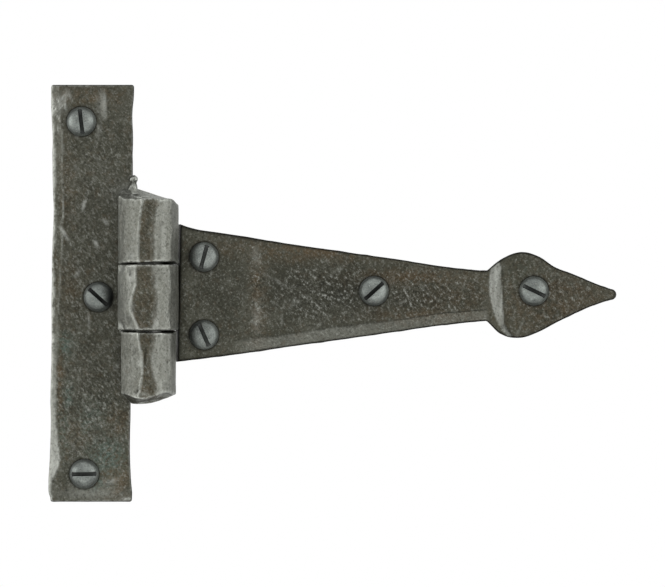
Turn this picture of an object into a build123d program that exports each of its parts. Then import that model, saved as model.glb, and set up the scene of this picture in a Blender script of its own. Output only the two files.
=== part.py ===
from build123d import *
import os
from math import asin, cos, degrees, radians, sin, sqrt

# A forged arrow-head tee hinge, opened flat, with its wood screws in place.
# X runs along the strap, Z runs up the fixed leaf, and -Y is the side that is seen.
# The origin is the centre of the fixed leaf's back face. All sizes are in millimetres.

# Forged bar
leaf_t = 4.5             # thickness of both leaves where they are rolled

# Fixed leaf
plate_w = 26.4           # across
plate_h = 135.5          # top to bottom
plate_corner_r = 1.2
plate_bevel_w = 2.7      # wide hammered bevel down the left front edge
plate_bevel_d = 1.1
edge_soft = 0.6          # rounding of both leaves' front edges

# Pin
pin_r = 5.0
pin_play = 0.05          # radial, all round
pin_offset = 5.3         # pin axis beyond the fixed leaf's right edge
pin_inset = 0.4          # the pin's ends lie this far inside the knuckles
pin_soft = 0.6           # chamfer on the pin's ends

# Knuckles
top_knuckle_h = 20.7
middle_knuckle_h = 21.3
bottom_knuckle_h = 20.3
middle_knuckle_z = -1.3  # centre of the strap's knuckle
knuckle_gap = 0.7        # between neighbouring knuckles, along the pin
seam_gap = 0.35          # between a roll's end and the leaf that it is rolled from
swing_clearance = 0.45   # round the strap's knuckle in the fixed leaf's notch
top_flare = 3.8          # the tongue's root rises this much above the top rim
bottom_sag = 3.0         # the lowest rim hangs this much below its ends
rim_bevel = 1.7          # the front of the lowest rim is worn back this much
rim_bevel_run = 5.0      # over this depth
rim_corner_r = 3.0       # rounded outer corner of the top rim

# Outer facets of each roll. The turns are its corners' angles about the pin, from the back (90) by way
# of the right side (0) and the front (-90). A corner stands out beyond the radius that is flush with
# the back plane, and the crown is the bulge from there to the next corner.
back_crown = 0.45        # of the first facet, which starts flush with the back plane
top_turns = (48, -8, -38, -81, -107, -173, -228)
top_stands = (0.15, 0.25, 0.2, 0.05, 0.2, 0.25, 0.05)
top_crowns = (0.5, 0.15, 0.35, -0.12, 0.75, 0.6, 0.4)
middle_turns = (50, -14, -44, -75, -120, -174, -230)
middle_stands = (0.05, 0.35, 0.3, 0.25, 0.25, 0.4, 0.05)
middle_crowns = (0.5, 0.2, 0.3, 0.05, 0.6, 0.6, 0.5)
bottom_turns = (46, -10, -35, -80, -110, -170, -229)
bottom_stands = (-0.65, -0.6, -0.65, -0.6, -0.65, -0.65, -0.65)
bottom_crowns = (0.5, 0.2, 0.3, -0.15, 0.5, 0.5, 0.4)

# The lowest rim, from left to right: share of the roll's radius across, share of the sag.
sag_shares = [(-1, 0), (-0.7, 0.75), (-0.3, 1), (0, 0.9), (0.3, 0.7), (1, 0)]

# Strap
strap_reach = 152.0      # pin axis to the tip of the arrow head
root_gap = 9.9           # pin axis to the strap's straight root, at mid-height
root_lean = 0.9          # the root's upper corner stands out this much more than the lower one
root_w = 43.4            # strap height at the root
root_z = -0.2            # centre of the root
root_flare = 1.0         # the root's upper corner flicks up by this much
root_flare_run = 7.5     # over this length
neck_w = 16.4            # strap height at the neck
neck_z = -0.7
draw_run = 24.0          # the bar is drawn down over this length before the neck,
draw_t = 4.1             # from this thickness
neck_t = 3.3             # to this one
head_l = 42.0            # neck to tip
head_w = 27.6            # across the lobes
head_z = -0.4
head_t = 4.5
tip_t = 3.2
tip_r = 1.3
boss_r = 16.0            # rounded left side of the thicker head
boss_gap = 1.1           # it begins this far past the neck
boss_run = 4.6           # and slopes up to the head's face over this length
taper_share = 0.55       # the head is drawn down from this share of its length to the tip
strap_bevel_w = 3.6      # wide hammered bevel along the lower front edge
strap_bevel_d = 1.2
strap_bevel_from = 27.0  # the bevel starts this far right of the pin axis,
strap_bevel_fade = 14.0  # widens over this length
strap_bevel_start = 1.6  # from this width

# Arrow head's edges: share of its length from the neck, share of its half height.
head_top_shares = [
    (0.0, 0.57), (0.09, 0.80), (0.27, 1.0), (0.39, 0.91), (0.53, 0.64), (0.66, 0.49), (0.83, 0.27),
]
head_low_shares = [
    (0.0, -0.62), (0.10, -0.88), (0.26, -1.0), (0.40, -0.86), (0.55, -0.62), (0.70, -0.40), (0.84, -0.22),
]

# Fixed leaf's wandering hammered edges: shares of the half height, and offsets outwards there.
left_wander_shares = (0.93, 0.57, 0.33, -0.04, -0.5, -0.9)
left_wander_out = (0.16, -0.35, -0.8, -0.2, 0.2, 0.95)
right_wander_shares = (0.91, 0.8, 0.62, 0.2, -0.4, -0.9)
right_wander_out = (0.4, -0.15, 0.05, -0.1, -0.5, -0.55)

# Burr left standing on the fixed leaf's right edge, above the top knuckle
burr_x = 0.35            # its axis beyond the edge
burr_h = 4.0             # above the tongue's root
burr_ball_r = 1.15
burr_stem_r = 0.7
burr_foot_r = 1.4

# Wood screws
screw_l = 32.0           # under the head
head_r = 4.75
head_h = 3.4
head_wall = 0.5          # upright rim under the dome
dome_share = 0.66        # the dome's bend: this share of the head's radius,
dome_rise = 0.8          # at this share of its height
slot_w = 1.3
slot_d = 1.25
screw_neck_r = 2.6       # full-bodied stretch in the leaf
shank_r = 2.415          # plain shank behind the leaf
shank_l = 6.0
core_r = 1.8             # core of the threaded stretch
core_end_r = 1.45
core_step = 1.0          # the shank narrows to the core over this length
point_l = 5.0
hole_play = 0.15         # radial, round the screw's neck

# Screw places. A turn is the slot's, anticlockwise from +X.
top_screw_x, top_screw_inset, top_screw_turn = -3.3, 11.95, 97
plate_screw_x, plate_screw_z, plate_screw_turn = 2.2, -1.2, -42
low_screw_x, low_screw_inset, low_screw_turn = -2.4, 9.05, 1
root_screw_in = 8.15     # from the strap's root
root_screw_z = -0.85     # middle of the pair
root_screw_gap = 25.35
line_screw_z = 0.75      # the two screws along the strap
middle_screw_x = 73.3    # from the pin axis
head_screw_in = 15.3     # from the neck
root_turns = (75, -66)
line_turns = (42, -26)

# Values worked out from the sizes above
bore_r = pin_r + pin_play
pin_x = plate_w / 2 + pin_offset
pin_y = -(leaf_t + bore_r)
back_r = leaf_t + bore_r
middle_top = middle_knuckle_z + middle_knuckle_h / 2
middle_low = middle_knuckle_z - middle_knuckle_h / 2
top_low = middle_top + knuckle_gap
top_rim = top_low + top_knuckle_h
bottom_high = middle_low - knuckle_gap
bottom_rim = bottom_high - bottom_knuckle_h
hole_r = screw_neck_r + hole_play
tip_x = pin_x + strap_reach
neck_x = tip_x - head_l
root_x = pin_x + root_gap
draw_x = neck_x - draw_run
top_facets = list(zip(top_turns, top_stands, top_crowns))
middle_facets = list(zip(middle_turns, middle_stands, middle_crowns))
bottom_facets = list(zip(bottom_turns, bottom_stands, bottom_crowns))
far = 4 * back_r         # reach of the cutting shapes past a knuckle
seat = leaf_t / 2        # joined shapes of one forging run this far into each other


def slab(x0, x1, y0, y1, z0, z1):
    """A block between two opposite corners."""
    return Pos((x0 + x1) / 2, (y0 + y1) / 2, (z0 + z1) / 2) * Box(abs(x1 - x0), abs(y1 - y0), abs(z1 - z0))


def through(outline, depth):
    """Carry an outline drawn in X and Z from the back plane towards the front."""
    return extrude(Plane.XZ * make_face(outline), amount=depth)


def along_pin(section, z0, z1):
    """Carry a section drawn in X and Y along the pin."""
    return Pos(0, 0, z0) * extrude(section, amount=z1 - z0)


def facet_ring(facets):
    """Outer outline of a roll: crowned or hollow facets between corners, flush with the back plane."""
    corners = [(90, 0, back_crown)] + facets
    points = [Vector(0, back_r + stand).rotate(Axis.Z, a - 90) for a, stand, crown in corners]
    sides = []
    for p, q, (a, stand, crown) in zip(points, points[1:] + points[:1], corners):
        outward = Vector(p.Y - q.Y, q.X - p.X).normalized()
        sides.append(ThreePointArc(p, (p + q) / 2 + outward * crown, q) if crown else Line(p, q))
    return make_face(sides)


def widest(facets):
    """Largest corner radius of a roll."""
    return back_r + max(stand for a, stand, crown in facets)


def roll_section(facets, tongue_x):
    """Section of a leaf rolled round the pin. The tongue runs to tongue_x, and the seam is on that side."""
    ring = Pos(pin_x, pin_y) * facet_ring(facets)
    x0, x1 = sorted((pin_x, tongue_x))
    tongue = Pos((x0 + x1) / 2, -leaf_t / 2) * Rectangle(x1 - x0, leaf_t)
    side = 1 if tongue_x > pin_x else -1
    seam = Pos(pin_x + side * far / 2, -leaf_t - seam_gap / 2) * Rectangle(far, seam_gap)
    return ring + tongue - Pos(pin_x, pin_y) * Circle(bore_r) - seam


def plate_blank():
    """The fixed leaf before its knuckles: a flat bar with wandering long edges and a bevelled left edge."""
    half_w, half_h = plate_w / 2, plate_h / 2
    top, low, r = half_h, -half_h, plate_corner_r
    left = [(-half_w - out, share * half_h) for share, out in zip(left_wander_shares, left_wander_out)]
    right = [(half_w + out, share * half_h) for share, out in zip(right_wander_shares, right_wander_out)]
    left_edge = Spline((-half_w, top - r), *left, (-half_w, low + r))
    right_edge = Spline((half_w, low + r), *reversed(right), (half_w, top - r))
    outline = [
        RadiusArc((-half_w + r, top), (-half_w, top - r), -r), left_edge,
        RadiusArc((-half_w, low + r), (-half_w + r, low), -r), Line((-half_w + r, low), (half_w - r, low)),
        RadiusArc((half_w - r, low), (half_w, low + r), -r), right_edge,
        RadiusArc((half_w, top - r), (half_w - r, top), -r), Line((half_w - r, top), (-half_w + r, top)),
    ]
    bar = through(outline, leaf_t)
    return fillet(bar.faces().sort_by(Axis.Y)[0].edges(), edge_soft)


def burr():
    """The nub on the fixed leaf's edge: a small ball on a flared stem, turned about an upright axis."""
    root_z = top_rim + top_flare
    foot_z, top_z = root_z - burr_foot_r, root_z + burr_h
    ball_z = top_z - burr_ball_r
    waist_z = (root_z + ball_z) / 2
    foot, waist, ball = (burr_foot_r, foot_z), (burr_stem_r, waist_z), (burr_ball_r, ball_z)
    ball_side = (burr_ball_r * sin(radians(45)), ball_z + burr_ball_r * cos(radians(45)))
    side = [
        Line((0, foot_z), foot), Line(foot, waist), Line(waist, ball),
        ThreePointArc(ball, ball_side, (0, top_z)), Line((0, top_z), (0, foot_z)),
    ]
    turned = revolve(Plane.XZ * make_face(side), Axis.Z, 360)
    return Pos(plate_w / 2 + burr_x, -leaf_t / 2, 0) * turned


def top_knuckle():
    """The upper roll: its tongue flares up behind the square-cut front rim."""
    edge_x, flare_z = plate_w / 2, top_rim + top_flare
    left, right = edge_x - far, pin_x + far
    side_x = pin_x + widest(top_facets)
    side, flare_end = (side_x, top_rim - rim_corner_r), (side_x - rim_corner_r, top_rim)
    bulge = rim_corner_r * (1 - cos(radians(45)))
    roll = along_pin(roll_section(top_facets, edge_x - seat), top_low, flare_z)
    outline = [
        ThreePointArc(side, (side_x - bulge, top_rim - bulge), flare_end),
        Polyline(flare_end, (edge_x, flare_z), (left, flare_z), (left, top_low), (right, top_low)),
        Polyline((right, top_low), (right, side[1]), side),
    ]
    front = slab(left, right, -leaf_t, -far, top_rim, top_rim + far)
    return (roll & through(outline, far)) - front


def bottom_knuckle():
    """The lower roll: slimmer, with a sagging rim whose front edge is worn to a bevel."""
    r, lowest = widest(bottom_facets), bottom_rim - bottom_sag
    roll = along_pin(roll_section(bottom_facets, plate_w / 2 - seat), lowest, bottom_high)
    rim = [(pin_x + across * r, bottom_rim - down * bottom_sag) for across, down in sag_shares]
    left, right, high = pin_x - r - far, pin_x + r + far, bottom_high + far
    outline = [
        ThreePointArc(*rim[:3]), ThreePointArc(*rim[2:5]),
        Polyline(rim[4], rim[5], (right, bottom_rim), (right, high)),
        Polyline((right, high), (left, high), (left, bottom_rim), rim[0]),
    ]
    bevel_from = -pin_y + r - rim_bevel_run
    bevel = extrude(Plane.XZ * make_face(outline), amount=far, dir=(0, -rim_bevel_run, rim_bevel))
    return roll & (through(outline, bevel_from) + Pos(0, -bevel_from, 0) * bevel)


def middle_knuckle():
    """The strap's roll, whose tongue runs on to the strap's root."""
    return along_pin(roll_section(middle_facets, root_x + seat), middle_low, middle_top)


def flange_plate():
    """The fixed leaf, one forging: bar, notch for the strap's knuckle, two rolls, burr and screw holes."""
    notch_x = pin_x - sqrt(widest(middle_facets) ** 2 - bore_r ** 2) - swing_clearance
    blank = plate_blank() - slab(notch_x, pin_x, far, -far, bottom_high, top_low)
    bevel_turn = degrees(asin(plate_bevel_d / plate_bevel_w))
    bevel_at = Pos(-plate_w / 2 + plate_bevel_w, -leaf_t, 0) * Rot(0, 0, -bevel_turn)
    blank -= bevel_at * slab(-far, 0, 0, -far, -plate_h, plate_h)
    body = blank + top_knuckle() + bottom_knuckle() + burr()
    for x, z in plate_holes():
        body -= Pos(x, 0, z) * Rot(90, 0, 0) * Cylinder(hole_r, 4 * leaf_t)
    return body


def plate_holes():
    """Screw places on the fixed leaf: near each end, and one beside the strap's knuckle."""
    top, low = plate_h / 2 - top_screw_inset, low_screw_inset - plate_h / 2
    return [(top_screw_x, top), (plate_screw_x, plate_screw_z), (low_screw_x, low)]


def hinge_pin():
    """A plain round pin, a little shorter than the two rolls that hold it."""
    low, high = bottom_rim + pin_inset, top_rim - pin_inset
    pin = Pos(pin_x, pin_y, (low + high) / 2) * Cylinder(pin_r, high - low)
    return chamfer(pin.edges().filter_by(GeomType.CIRCLE), pin_soft)


def strap_front(x):
    """Thickness of the strap at x: it thins slowly to the drawn stretch, and faster to the neck."""
    x0, t0, x1, t1 = (root_x, leaf_t, draw_x, draw_t) if x < draw_x else (draw_x, draw_t, neck_x, neck_t)
    share = min(max((x - x0) / (x1 - x0), 0), 1)
    return t0 + share * (t1 - t0)


def head_edge(points):
    """The arrow head's points, from shares of its length and half height to X and Z."""
    return [(neck_x + along * head_l, head_z + up * head_w / 2) for along, up in points]


def strap_arm():
    """The swinging leaf, one forging: roll, tapered strap with a thin neck, and arrow head."""
    root_top = (root_x + root_lean / 2, root_z + root_w / 2)
    root_low = (root_x - root_lean / 2, root_z - root_w / 2)
    neck_top, neck_low = (neck_x, neck_z + neck_w / 2), (neck_x, neck_z - neck_w / 2)
    top, low = head_edge(head_top_shares), head_edge(head_low_shares)
    top[0], low[0] = neck_top, neck_low
    tip_top, tip_low = (tip_x - tip_r, head_z + tip_r), (tip_x - tip_r, head_z - tip_r)
    slope = (neck_top[1] - root_top[1]) / (neck_top[0] - root_top[0])
    half_run = root_flare_run / 2
    flare_end = (root_top[0] + root_flare_run, root_top[1] + root_flare_run * slope)
    flare_middle = (root_top[0] + half_run, root_top[1] + half_run * slope + root_flare / 4)
    flick = (root_top[0], root_top[1] + root_flare)
    outline = [
        Line(root_low, neck_low), Spline(*low, tip_low),
        ThreePointArc(tip_low, (tip_x, head_z), tip_top),
        Spline(tip_top, *reversed(top)), Line(neck_top, flare_end),
        ThreePointArc(flare_end, flare_middle, flick), Line(flick, root_low),
    ]
    side = [
        (pin_x, 0), (tip_x + tip_r, 0), (tip_x + tip_r, -tip_t), (neck_x + taper_share * head_l, -head_t),
        (neck_x, -head_t), (neck_x, -neck_t), (draw_x, -draw_t), (root_x, -leaf_t), (pin_x, -leaf_t),
    ]
    profile = make_face(Polyline(*side, close=True))
    leaf = through(outline, far) & along_pin(profile, -root_w, root_w)
    front_edges = [e for e in leaf.edges() if e.center().Y < -tip_t / 2]
    leaf = fillet([e for e in front_edges if e.bounding_box().size.X > edge_soft], edge_soft)
    body = leaf - neck_relief() + middle_knuckle()
    for x, z in strap_holes():
        body -= Pos(x, 0, z) * Rot(90, 0, 0) * Cylinder(hole_r, 4 * leaf_t)
    return body - strap_bevel(root_low, neck_low)


def neck_relief():
    """What is missing in front of the neck: a block with the head's rounded, sloping left side in it."""
    centre_x = neck_x + boss_gap + boss_r
    block = slab(neck_x, centre_x, -neck_t, -far, -head_w, head_w)
    foot = Plane((centre_x, -neck_t, head_z), x_dir=(1, 0, 0), z_dir=(0, -1, 0)) * Circle(boss_r)
    face = Plane((centre_x + boss_run, -head_t, head_z), x_dir=(1, 0, 0), z_dir=(0, -1, 0)) * Circle(boss_r)
    return block - loft([foot, face], ruled=True)


def strap_bevel(root_low, neck_low):
    """The wedge that the hammer took off the strap's lower front edge."""
    root, neck = Vector(root_low[0], 0, root_low[1]), Vector(neck_low[0], 0, neck_low[1])
    run = (neck - root).normalized()
    inward, front = Vector(-run.Z, 0, run.X), Vector(0, -1, 0)
    start = root + run * (strap_bevel_from - root_gap)
    fall = strap_bevel_d / strap_bevel_w
    drawn = neck - run * (draw_run / run.X)
    full = start + run * strap_bevel_fade
    widths = {start: strap_bevel_start, full: strap_bevel_w, drawn: strap_bevel_w, neck: strap_bevel_w}
    sections = []
    for at, width in widths.items():
        t = strap_front(at.X)
        inner = at + inward * width + front * t
        outer = at - inward * width + front * (t - 2 * fall * width)
        lift = front * strap_bevel_w
        sections.append(make_face(Polyline(inner, outer, outer + lift, inner + lift, close=True)))
    return Part() + [loft(pair, ruled=True) for pair in zip(sections, sections[1:])]


def strap_holes():
    """Screw places on the strap: two at the root, two along its middle line."""
    screw_x = root_x + root_screw_in
    root = [(screw_x, root_screw_z + side * root_screw_gap / 2) for side in (1, -1)]
    line = [(x, line_screw_z) for x in (pin_x + middle_screw_x, neck_x + head_screw_in)]
    return root + line


def wood_screw():
    """A slotted round-head wood screw, head up, with its underside at Z 0. Its thread is left plain."""
    shank_end = -leaf_t - shank_l
    side = Polyline(
        (0, head_h), (0, -screw_l), (core_end_r, point_l - screw_l), (core_r, shank_end - core_step),
        (shank_r, shank_end), (shank_r, -leaf_t), (screw_neck_r, -leaf_t), (screw_neck_r, 0),
        (head_r, 0), (head_r, head_wall),
    )
    dome = ThreePointArc((head_r, head_wall), (head_r * dome_share, head_h * dome_rise), (0, head_h))
    turned = revolve(Plane.XZ * make_face([side, dome]), Axis.Z, 360)
    return turned - slab(-2 * head_r, 2 * head_r, -slot_w / 2, slot_w / 2, head_h - slot_d, 2 * head_h)


def screws_at(places, turns, fronts):
    """One screw at each place, its slot turned and its head's underside on the leaf's front."""
    group = [
        Pos(x, -front, z) * Rot(90, 0, 0) * Rot(0, 0, turn) * wood_screw()
        for (x, z), turn, front in zip(places, turns, fronts)
    ]
    return Compound(children=group)


plate_turns = (top_screw_turn, plate_screw_turn, low_screw_turn)
plate_fronts = [leaf_t] * 3
strap_fronts = [strap_front(x - head_r) for x, z in strap_holes()[:3]] + [head_t]

nodes = {
    "flange_plate": flange_plate(),
    "strap_arm": strap_arm(),
    "hinge_pin": hinge_pin(),
    "plate_screws": screws_at(plate_holes(), plate_turns, plate_fronts),
    "strap_screws": screws_at(strap_holes(), root_turns + line_turns, strap_fronts),
}

os.makedirs("parts", exist_ok=True)
for name, solid in nodes.items():
    export_step(solid, f"parts/{name}.step")
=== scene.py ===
import math

import bmesh
import bpy
import numpy as np
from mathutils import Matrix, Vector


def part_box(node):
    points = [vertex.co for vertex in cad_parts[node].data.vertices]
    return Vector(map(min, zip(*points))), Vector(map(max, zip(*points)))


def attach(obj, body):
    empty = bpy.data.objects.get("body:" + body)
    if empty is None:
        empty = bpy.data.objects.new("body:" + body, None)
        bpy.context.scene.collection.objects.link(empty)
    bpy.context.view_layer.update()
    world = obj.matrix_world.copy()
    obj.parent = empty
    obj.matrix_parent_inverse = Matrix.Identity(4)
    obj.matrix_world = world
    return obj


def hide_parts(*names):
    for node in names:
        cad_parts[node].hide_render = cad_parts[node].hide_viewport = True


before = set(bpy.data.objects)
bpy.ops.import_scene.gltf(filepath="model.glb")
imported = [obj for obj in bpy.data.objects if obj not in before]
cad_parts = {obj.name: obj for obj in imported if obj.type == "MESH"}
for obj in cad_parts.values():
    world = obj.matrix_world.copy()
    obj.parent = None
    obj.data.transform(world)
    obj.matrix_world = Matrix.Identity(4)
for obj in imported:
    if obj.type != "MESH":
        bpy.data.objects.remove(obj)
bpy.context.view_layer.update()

# A forged arrow-head tee hinge, opened flat, with its round-head wood screws.
# Settings are in millimetres and degrees, and meshes are made in metres in the model's own frame:
# X along the strap, Z up the fixed leaf, and -Y the side that is seen.

mm = 0.001
weldDistance = 0.0015 * mm      # points nearer than this become one


# Noise and curves, all on whole arrays

# A repeatable value from 0 to 1 at each whole lattice point: the fraction of a large sine
def latticeValue(column, row, seed):
    wave = np.sin(column * 127.1 + row * 311.7 + seed * 74.7) * 43758.5453
    return wave - np.floor(wave)


# Lattice values blended across each cell by 3t2 - 2t3, from -1 to 1
def softNoise(x, y, cell, seed):
    column, row = np.floor(x / cell), np.floor(y / cell)
    u, v = x / cell - column, y / cell - row
    u, v = u * u * (3 - 2 * u), v * v * (3 - 2 * v)
    low = latticeValue(column, row, seed) * (1 - u) + latticeValue(column + 1, row, seed) * u
    high = latticeValue(column, row + 1, seed) * (1 - u) + latticeValue(column + 1, row + 1, seed) * u
    return 2 * (low * (1 - v) + high * v) - 1


# Soft noise summed over layers, each half as large and half as strong as the one before
def layeredNoise(x, y, cell, seed, layers=3):
    return sum(softNoise(x, y, cell / 2 ** k, seed + 7 * k) / 2 ** k for k in range(layers))


# Distance to the nearest of the points scattered one to a cell, and that point's own random value
def nearestPoint(x, y, cell, seed):
    column, row = np.floor(x / cell), np.floor(y / cell)
    nearest, value = np.full(x.shape, 9.0), np.zeros(x.shape)
    for down in (-1, 0, 1):
        for across in (-1, 0, 1):
            i, j = column + across, row + down
            pointX, pointY = i + latticeValue(i, j, seed), j + latticeValue(i, j, seed + 3)
            away = np.hypot(x / cell - pointX, y / cell - pointY)
            value = np.where(away < nearest, latticeValue(i, j, seed + 5), value)
            nearest = np.minimum(away, nearest)
    return nearest, value


# Hammer dishes: shallow bowls that meet in soft ridges, the square of the distance to each bowl's middle
def hammerDishes(x, y, cell, depth, seed):
    away, value = nearestPoint(x + softNoise(x, y, cell, seed + 1), y, cell, seed)
    return depth * (np.minimum(away, 1) ** 2 - 0.4) * (0.5 + value)


# Rust pits: bowls with steep sides, in the share of the cells that the density gives
def rustPits(x, y, cell, depth, density, seed):
    away, value = nearestPoint(x + 0.25 * cell * softNoise(x, y, cell * 0.6, seed), y, cell, seed)
    radius = 0.18 + 0.3 * value / np.maximum(density, 0.01)
    bowl = np.clip(1 - (away / radius) ** 2, 0, 1)
    return np.where(value < density, -depth * bowl, 0)


# Where a place lies in a mark: along it in half lengths and across it in half widths, once the mark's
# anticlockwise turn is undone
def inMark(x, y, mark):
    markX, markY, halfLength, halfWidth, turn, _ = mark
    c, s = math.cos(math.radians(turn)), math.sin(math.radians(turn))
    return ((x - markX) * c + (y - markY) * s) / halfLength, ((y - markY) * c - (x - markX) * s) / halfWidth


# A groove or dent: a Gaussian hollow as deep as the mark says, with a slight raised lip
def hollow(x, y, mark):
    along, across = inMark(x, y, mark)
    away = along ** 2 + across ** 2
    return -mark[5] * np.exp(-away) * (1 - 0.3 * away)


# The bright lip beside a deep scratch, one side of its Gaussian hollow
def scratchShine(x, y, mark):
    along, across = inMark(x, y, mark)
    return (mark[5] - 0.1) * np.exp(-along ** 2 - (across - 0.3) ** 2)


# A fold in the skin of the metal: a Gaussian rise on its left and a steep drop on its right
def fold(x, y, mark):
    along, across = inMark(x, y, mark)
    across = across / np.where(across > 0, 1, 0.22)
    return mark[5] * np.exp(-along ** 4 - across ** 2)


# Strength of a zone, from 0 to 1: a Gaussian patch round each point, the strongest one counting
def zoneStrength(x, y, zones):
    patches = [s * np.exp(-((x - cx) / rx) ** 2 - ((y - cy) / ry) ** 2) for cx, cy, rx, ry, s in zones]
    return np.max([0 * x, *patches], axis=0)


# Cubic Hermite curve through the points, each slope the mean of its two chords
def smoothCurve(knots, at):
    place, value = np.array(sorted(knots), float).T
    slope = np.gradient(value, place)
    k = np.clip(np.searchsorted(place, at) - 1, 0, len(place) - 2)
    step = place[k + 1] - place[k]
    t = np.clip((at - place[k]) / step, 0, 1)
    ahead = value[k + 1] * t * t * (3 - 2 * t) + slope[k + 1] * step * t * t * (t - 1)
    return value[k] * (1 + 2 * t) * (1 - t) ** 2 + slope[k] * step * t * (1 - t) ** 2 + ahead


def smoothStep(value, low, high):  # 0 below low, 1 above high, 3t2 - 2t3 between
    t = np.clip((value - low) / (high - low), 0, 1)
    return t * t * (3 - 2 * t)


# Meshes from grids

# Places from low to high: crowded as a quarter circle's cosines over each soft edge, even between
def spreadRows(low, high, soft, count):
    near = 1 - np.cos(np.linspace(0, math.pi / 2, 6))[:-1]
    reach = np.minimum(soft, (high - low) * 0.3)[..., None]
    low, high = low[..., None], high[..., None]
    inner = low + reach + (high - low - 2 * reach) * np.linspace(0, 1, count)
    return np.concatenate([low + reach * near, inner, high - reach * near[::-1]], axis=-1)


# Distance to the nearer of two edges, rounded where both are near, never below 0
def cornerDistance(first, second, soft):
    return np.maximum(soft - np.hypot(np.clip(soft - first, 0, None), np.clip(soft - second, 0, None)), 0)


def edgeDrop(distance, soft):  # how far a rounded edge lies below its face: a quarter circle
    near = np.clip(distance, 0, soft)
    return soft - np.sqrt(soft ** 2 - (soft - near) ** 2)


def gridFaces(table):  # quads between neighbouring rows and columns of a table of vertex numbers
    return np.stack([table[:-1, :-1], table[1:, :-1], table[1:, 1:], table[:-1, 1:]], axis=-1).reshape(-1, 4)


def borderOf(table):  # a table's border entries, in order round it
    return np.concatenate([table[:-1, 0], table[-1, :-1], table[:0:-1, -1], table[0, :0:-1]])


# A closed slab: its front grid, its back grid and a wall between their borders.
# A wall row lies at a share of the way from border to border, pushed out by a sine bulge and noise.
def slabSurface(front, back, wall):
    rows, columns = front.shape[:2]
    table = np.arange(rows * columns).reshape(rows, columns)
    points = np.concatenate([front.reshape(-1, 3), back.reshape(-1, 3)])
    inset = wall["inset"]
    deeper = table[np.clip(np.arange(rows), inset, rows - 1 - inset)]
    deeper = borderOf(deeper[:, np.clip(np.arange(columns), inset, columns - 1 - inset)])
    rim = borderOf(table)
    backRim = rim + rows * columns
    outward = points[rim] - points[deeper] + points[backRim] - points[deeper + rows * columns]
    outward /= np.linalg.norm(outward, axis=1, keepdims=True) + 1e-9
    shares = np.linspace(0, 1, wall["rows"] + 2)[1:-1, None, None]
    band = points[rim] * (1 - shares) + points[backRim] * shares
    rough = layeredNoise(band[..., 0] + band[..., 1], band[..., 2] - 0.6 * band[..., 1], wall["cell"], wall["seed"])
    band = band + outward * (np.sin(math.pi * shares) * (wall["bulge"] + wall["rough"] * rough[..., None]))
    bandTable = len(points) + np.arange(band.shape[0] * band.shape[1]).reshape(band.shape[:2])
    ring = np.vstack([rim, bandTable, backRim])
    ring = np.hstack([ring, ring[:, :1]])
    faces = np.vstack([gridFaces(table), gridFaces(table)[:, ::-1] + rows * columns, gridFaces(ring)])
    return np.concatenate([points, band.reshape(-1, 3)]), faces


# A surface turned round an upright axis: a ring of points for each radius and height. A radius of 0 at
# an end closes it.
def turnedSurface(radius, height, sides):
    angle = np.linspace(0, 2 * math.pi, sides, endpoint=False)
    points = np.stack([radius * np.cos(angle), radius * np.sin(angle), height + 0 * angle], axis=-1).reshape(-1, 3)
    table = np.arange(len(points)).reshape(-1, sides)
    return points, gridFaces(np.hstack([table, table[:, :1]]))


def newObject(name, data):  # an object of the scene, at the origin
    item = bpy.data.objects.new(name, data)
    bpy.context.scene.collection.objects.link(item)
    return item


# A welded mesh object, in metres, from points in millimetres. Open ends are closed flat, and the faces
# are turned outwards.
def makePiece(name, points, faces):
    mesh = bpy.data.meshes.new(name)
    mesh.from_pydata((points * mm).tolist(), [], faces.tolist())
    work = bmesh.new()
    work.from_mesh(mesh)
    bmesh.ops.remove_doubles(work, verts=work.verts, dist=weldDistance)
    bmesh.ops.holes_fill(work, edges=work.edges)
    bmesh.ops.recalc_face_normals(work, faces=work.faces)
    work.to_mesh(mesh)
    work.free()
    return newObject(name, mesh)


def placesOf(piece):  # a piece's vertices, in millimetres
    place = np.empty(len(piece.data.vertices) * 3)
    piece.data.vertices.foreach_get("co", place)
    return place.reshape(-1, 3) / mm


def setMark(piece, name, value):  # one number a vertex, which the material reads
    piece.data.attributes.new(name, "FLOAT", "POINT").data.foreach_set("value", value.astype(np.float32))


# Applies every modifier on a piece, so that what follows works on the finished mesh
def applyModifiers(piece):
    evaluated = piece.evaluated_get(bpy.context.evaluated_depsgraph_get())
    finished = bpy.data.meshes.new_from_object(evaluated)
    piece.modifiers.clear()
    piece.data = finished


def combine(piece, other, operation):  # UNION or DIFFERENCE with another closed piece, which is then removed
    cut = piece.modifiers.new(operation, "BOOLEAN")
    cut.operation, cut.solver, cut.object = operation, "MANIFOLD", other
    applyModifiers(piece)
    bpy.data.objects.remove(other)
    return piece


def smoothShade(piece, angle):  # smooth over gentle bends, sharp over steeper ones
    piece.data.shade_smooth()
    piece.data.set_sharp_from_angle(angle=math.radians(angle))


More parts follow.
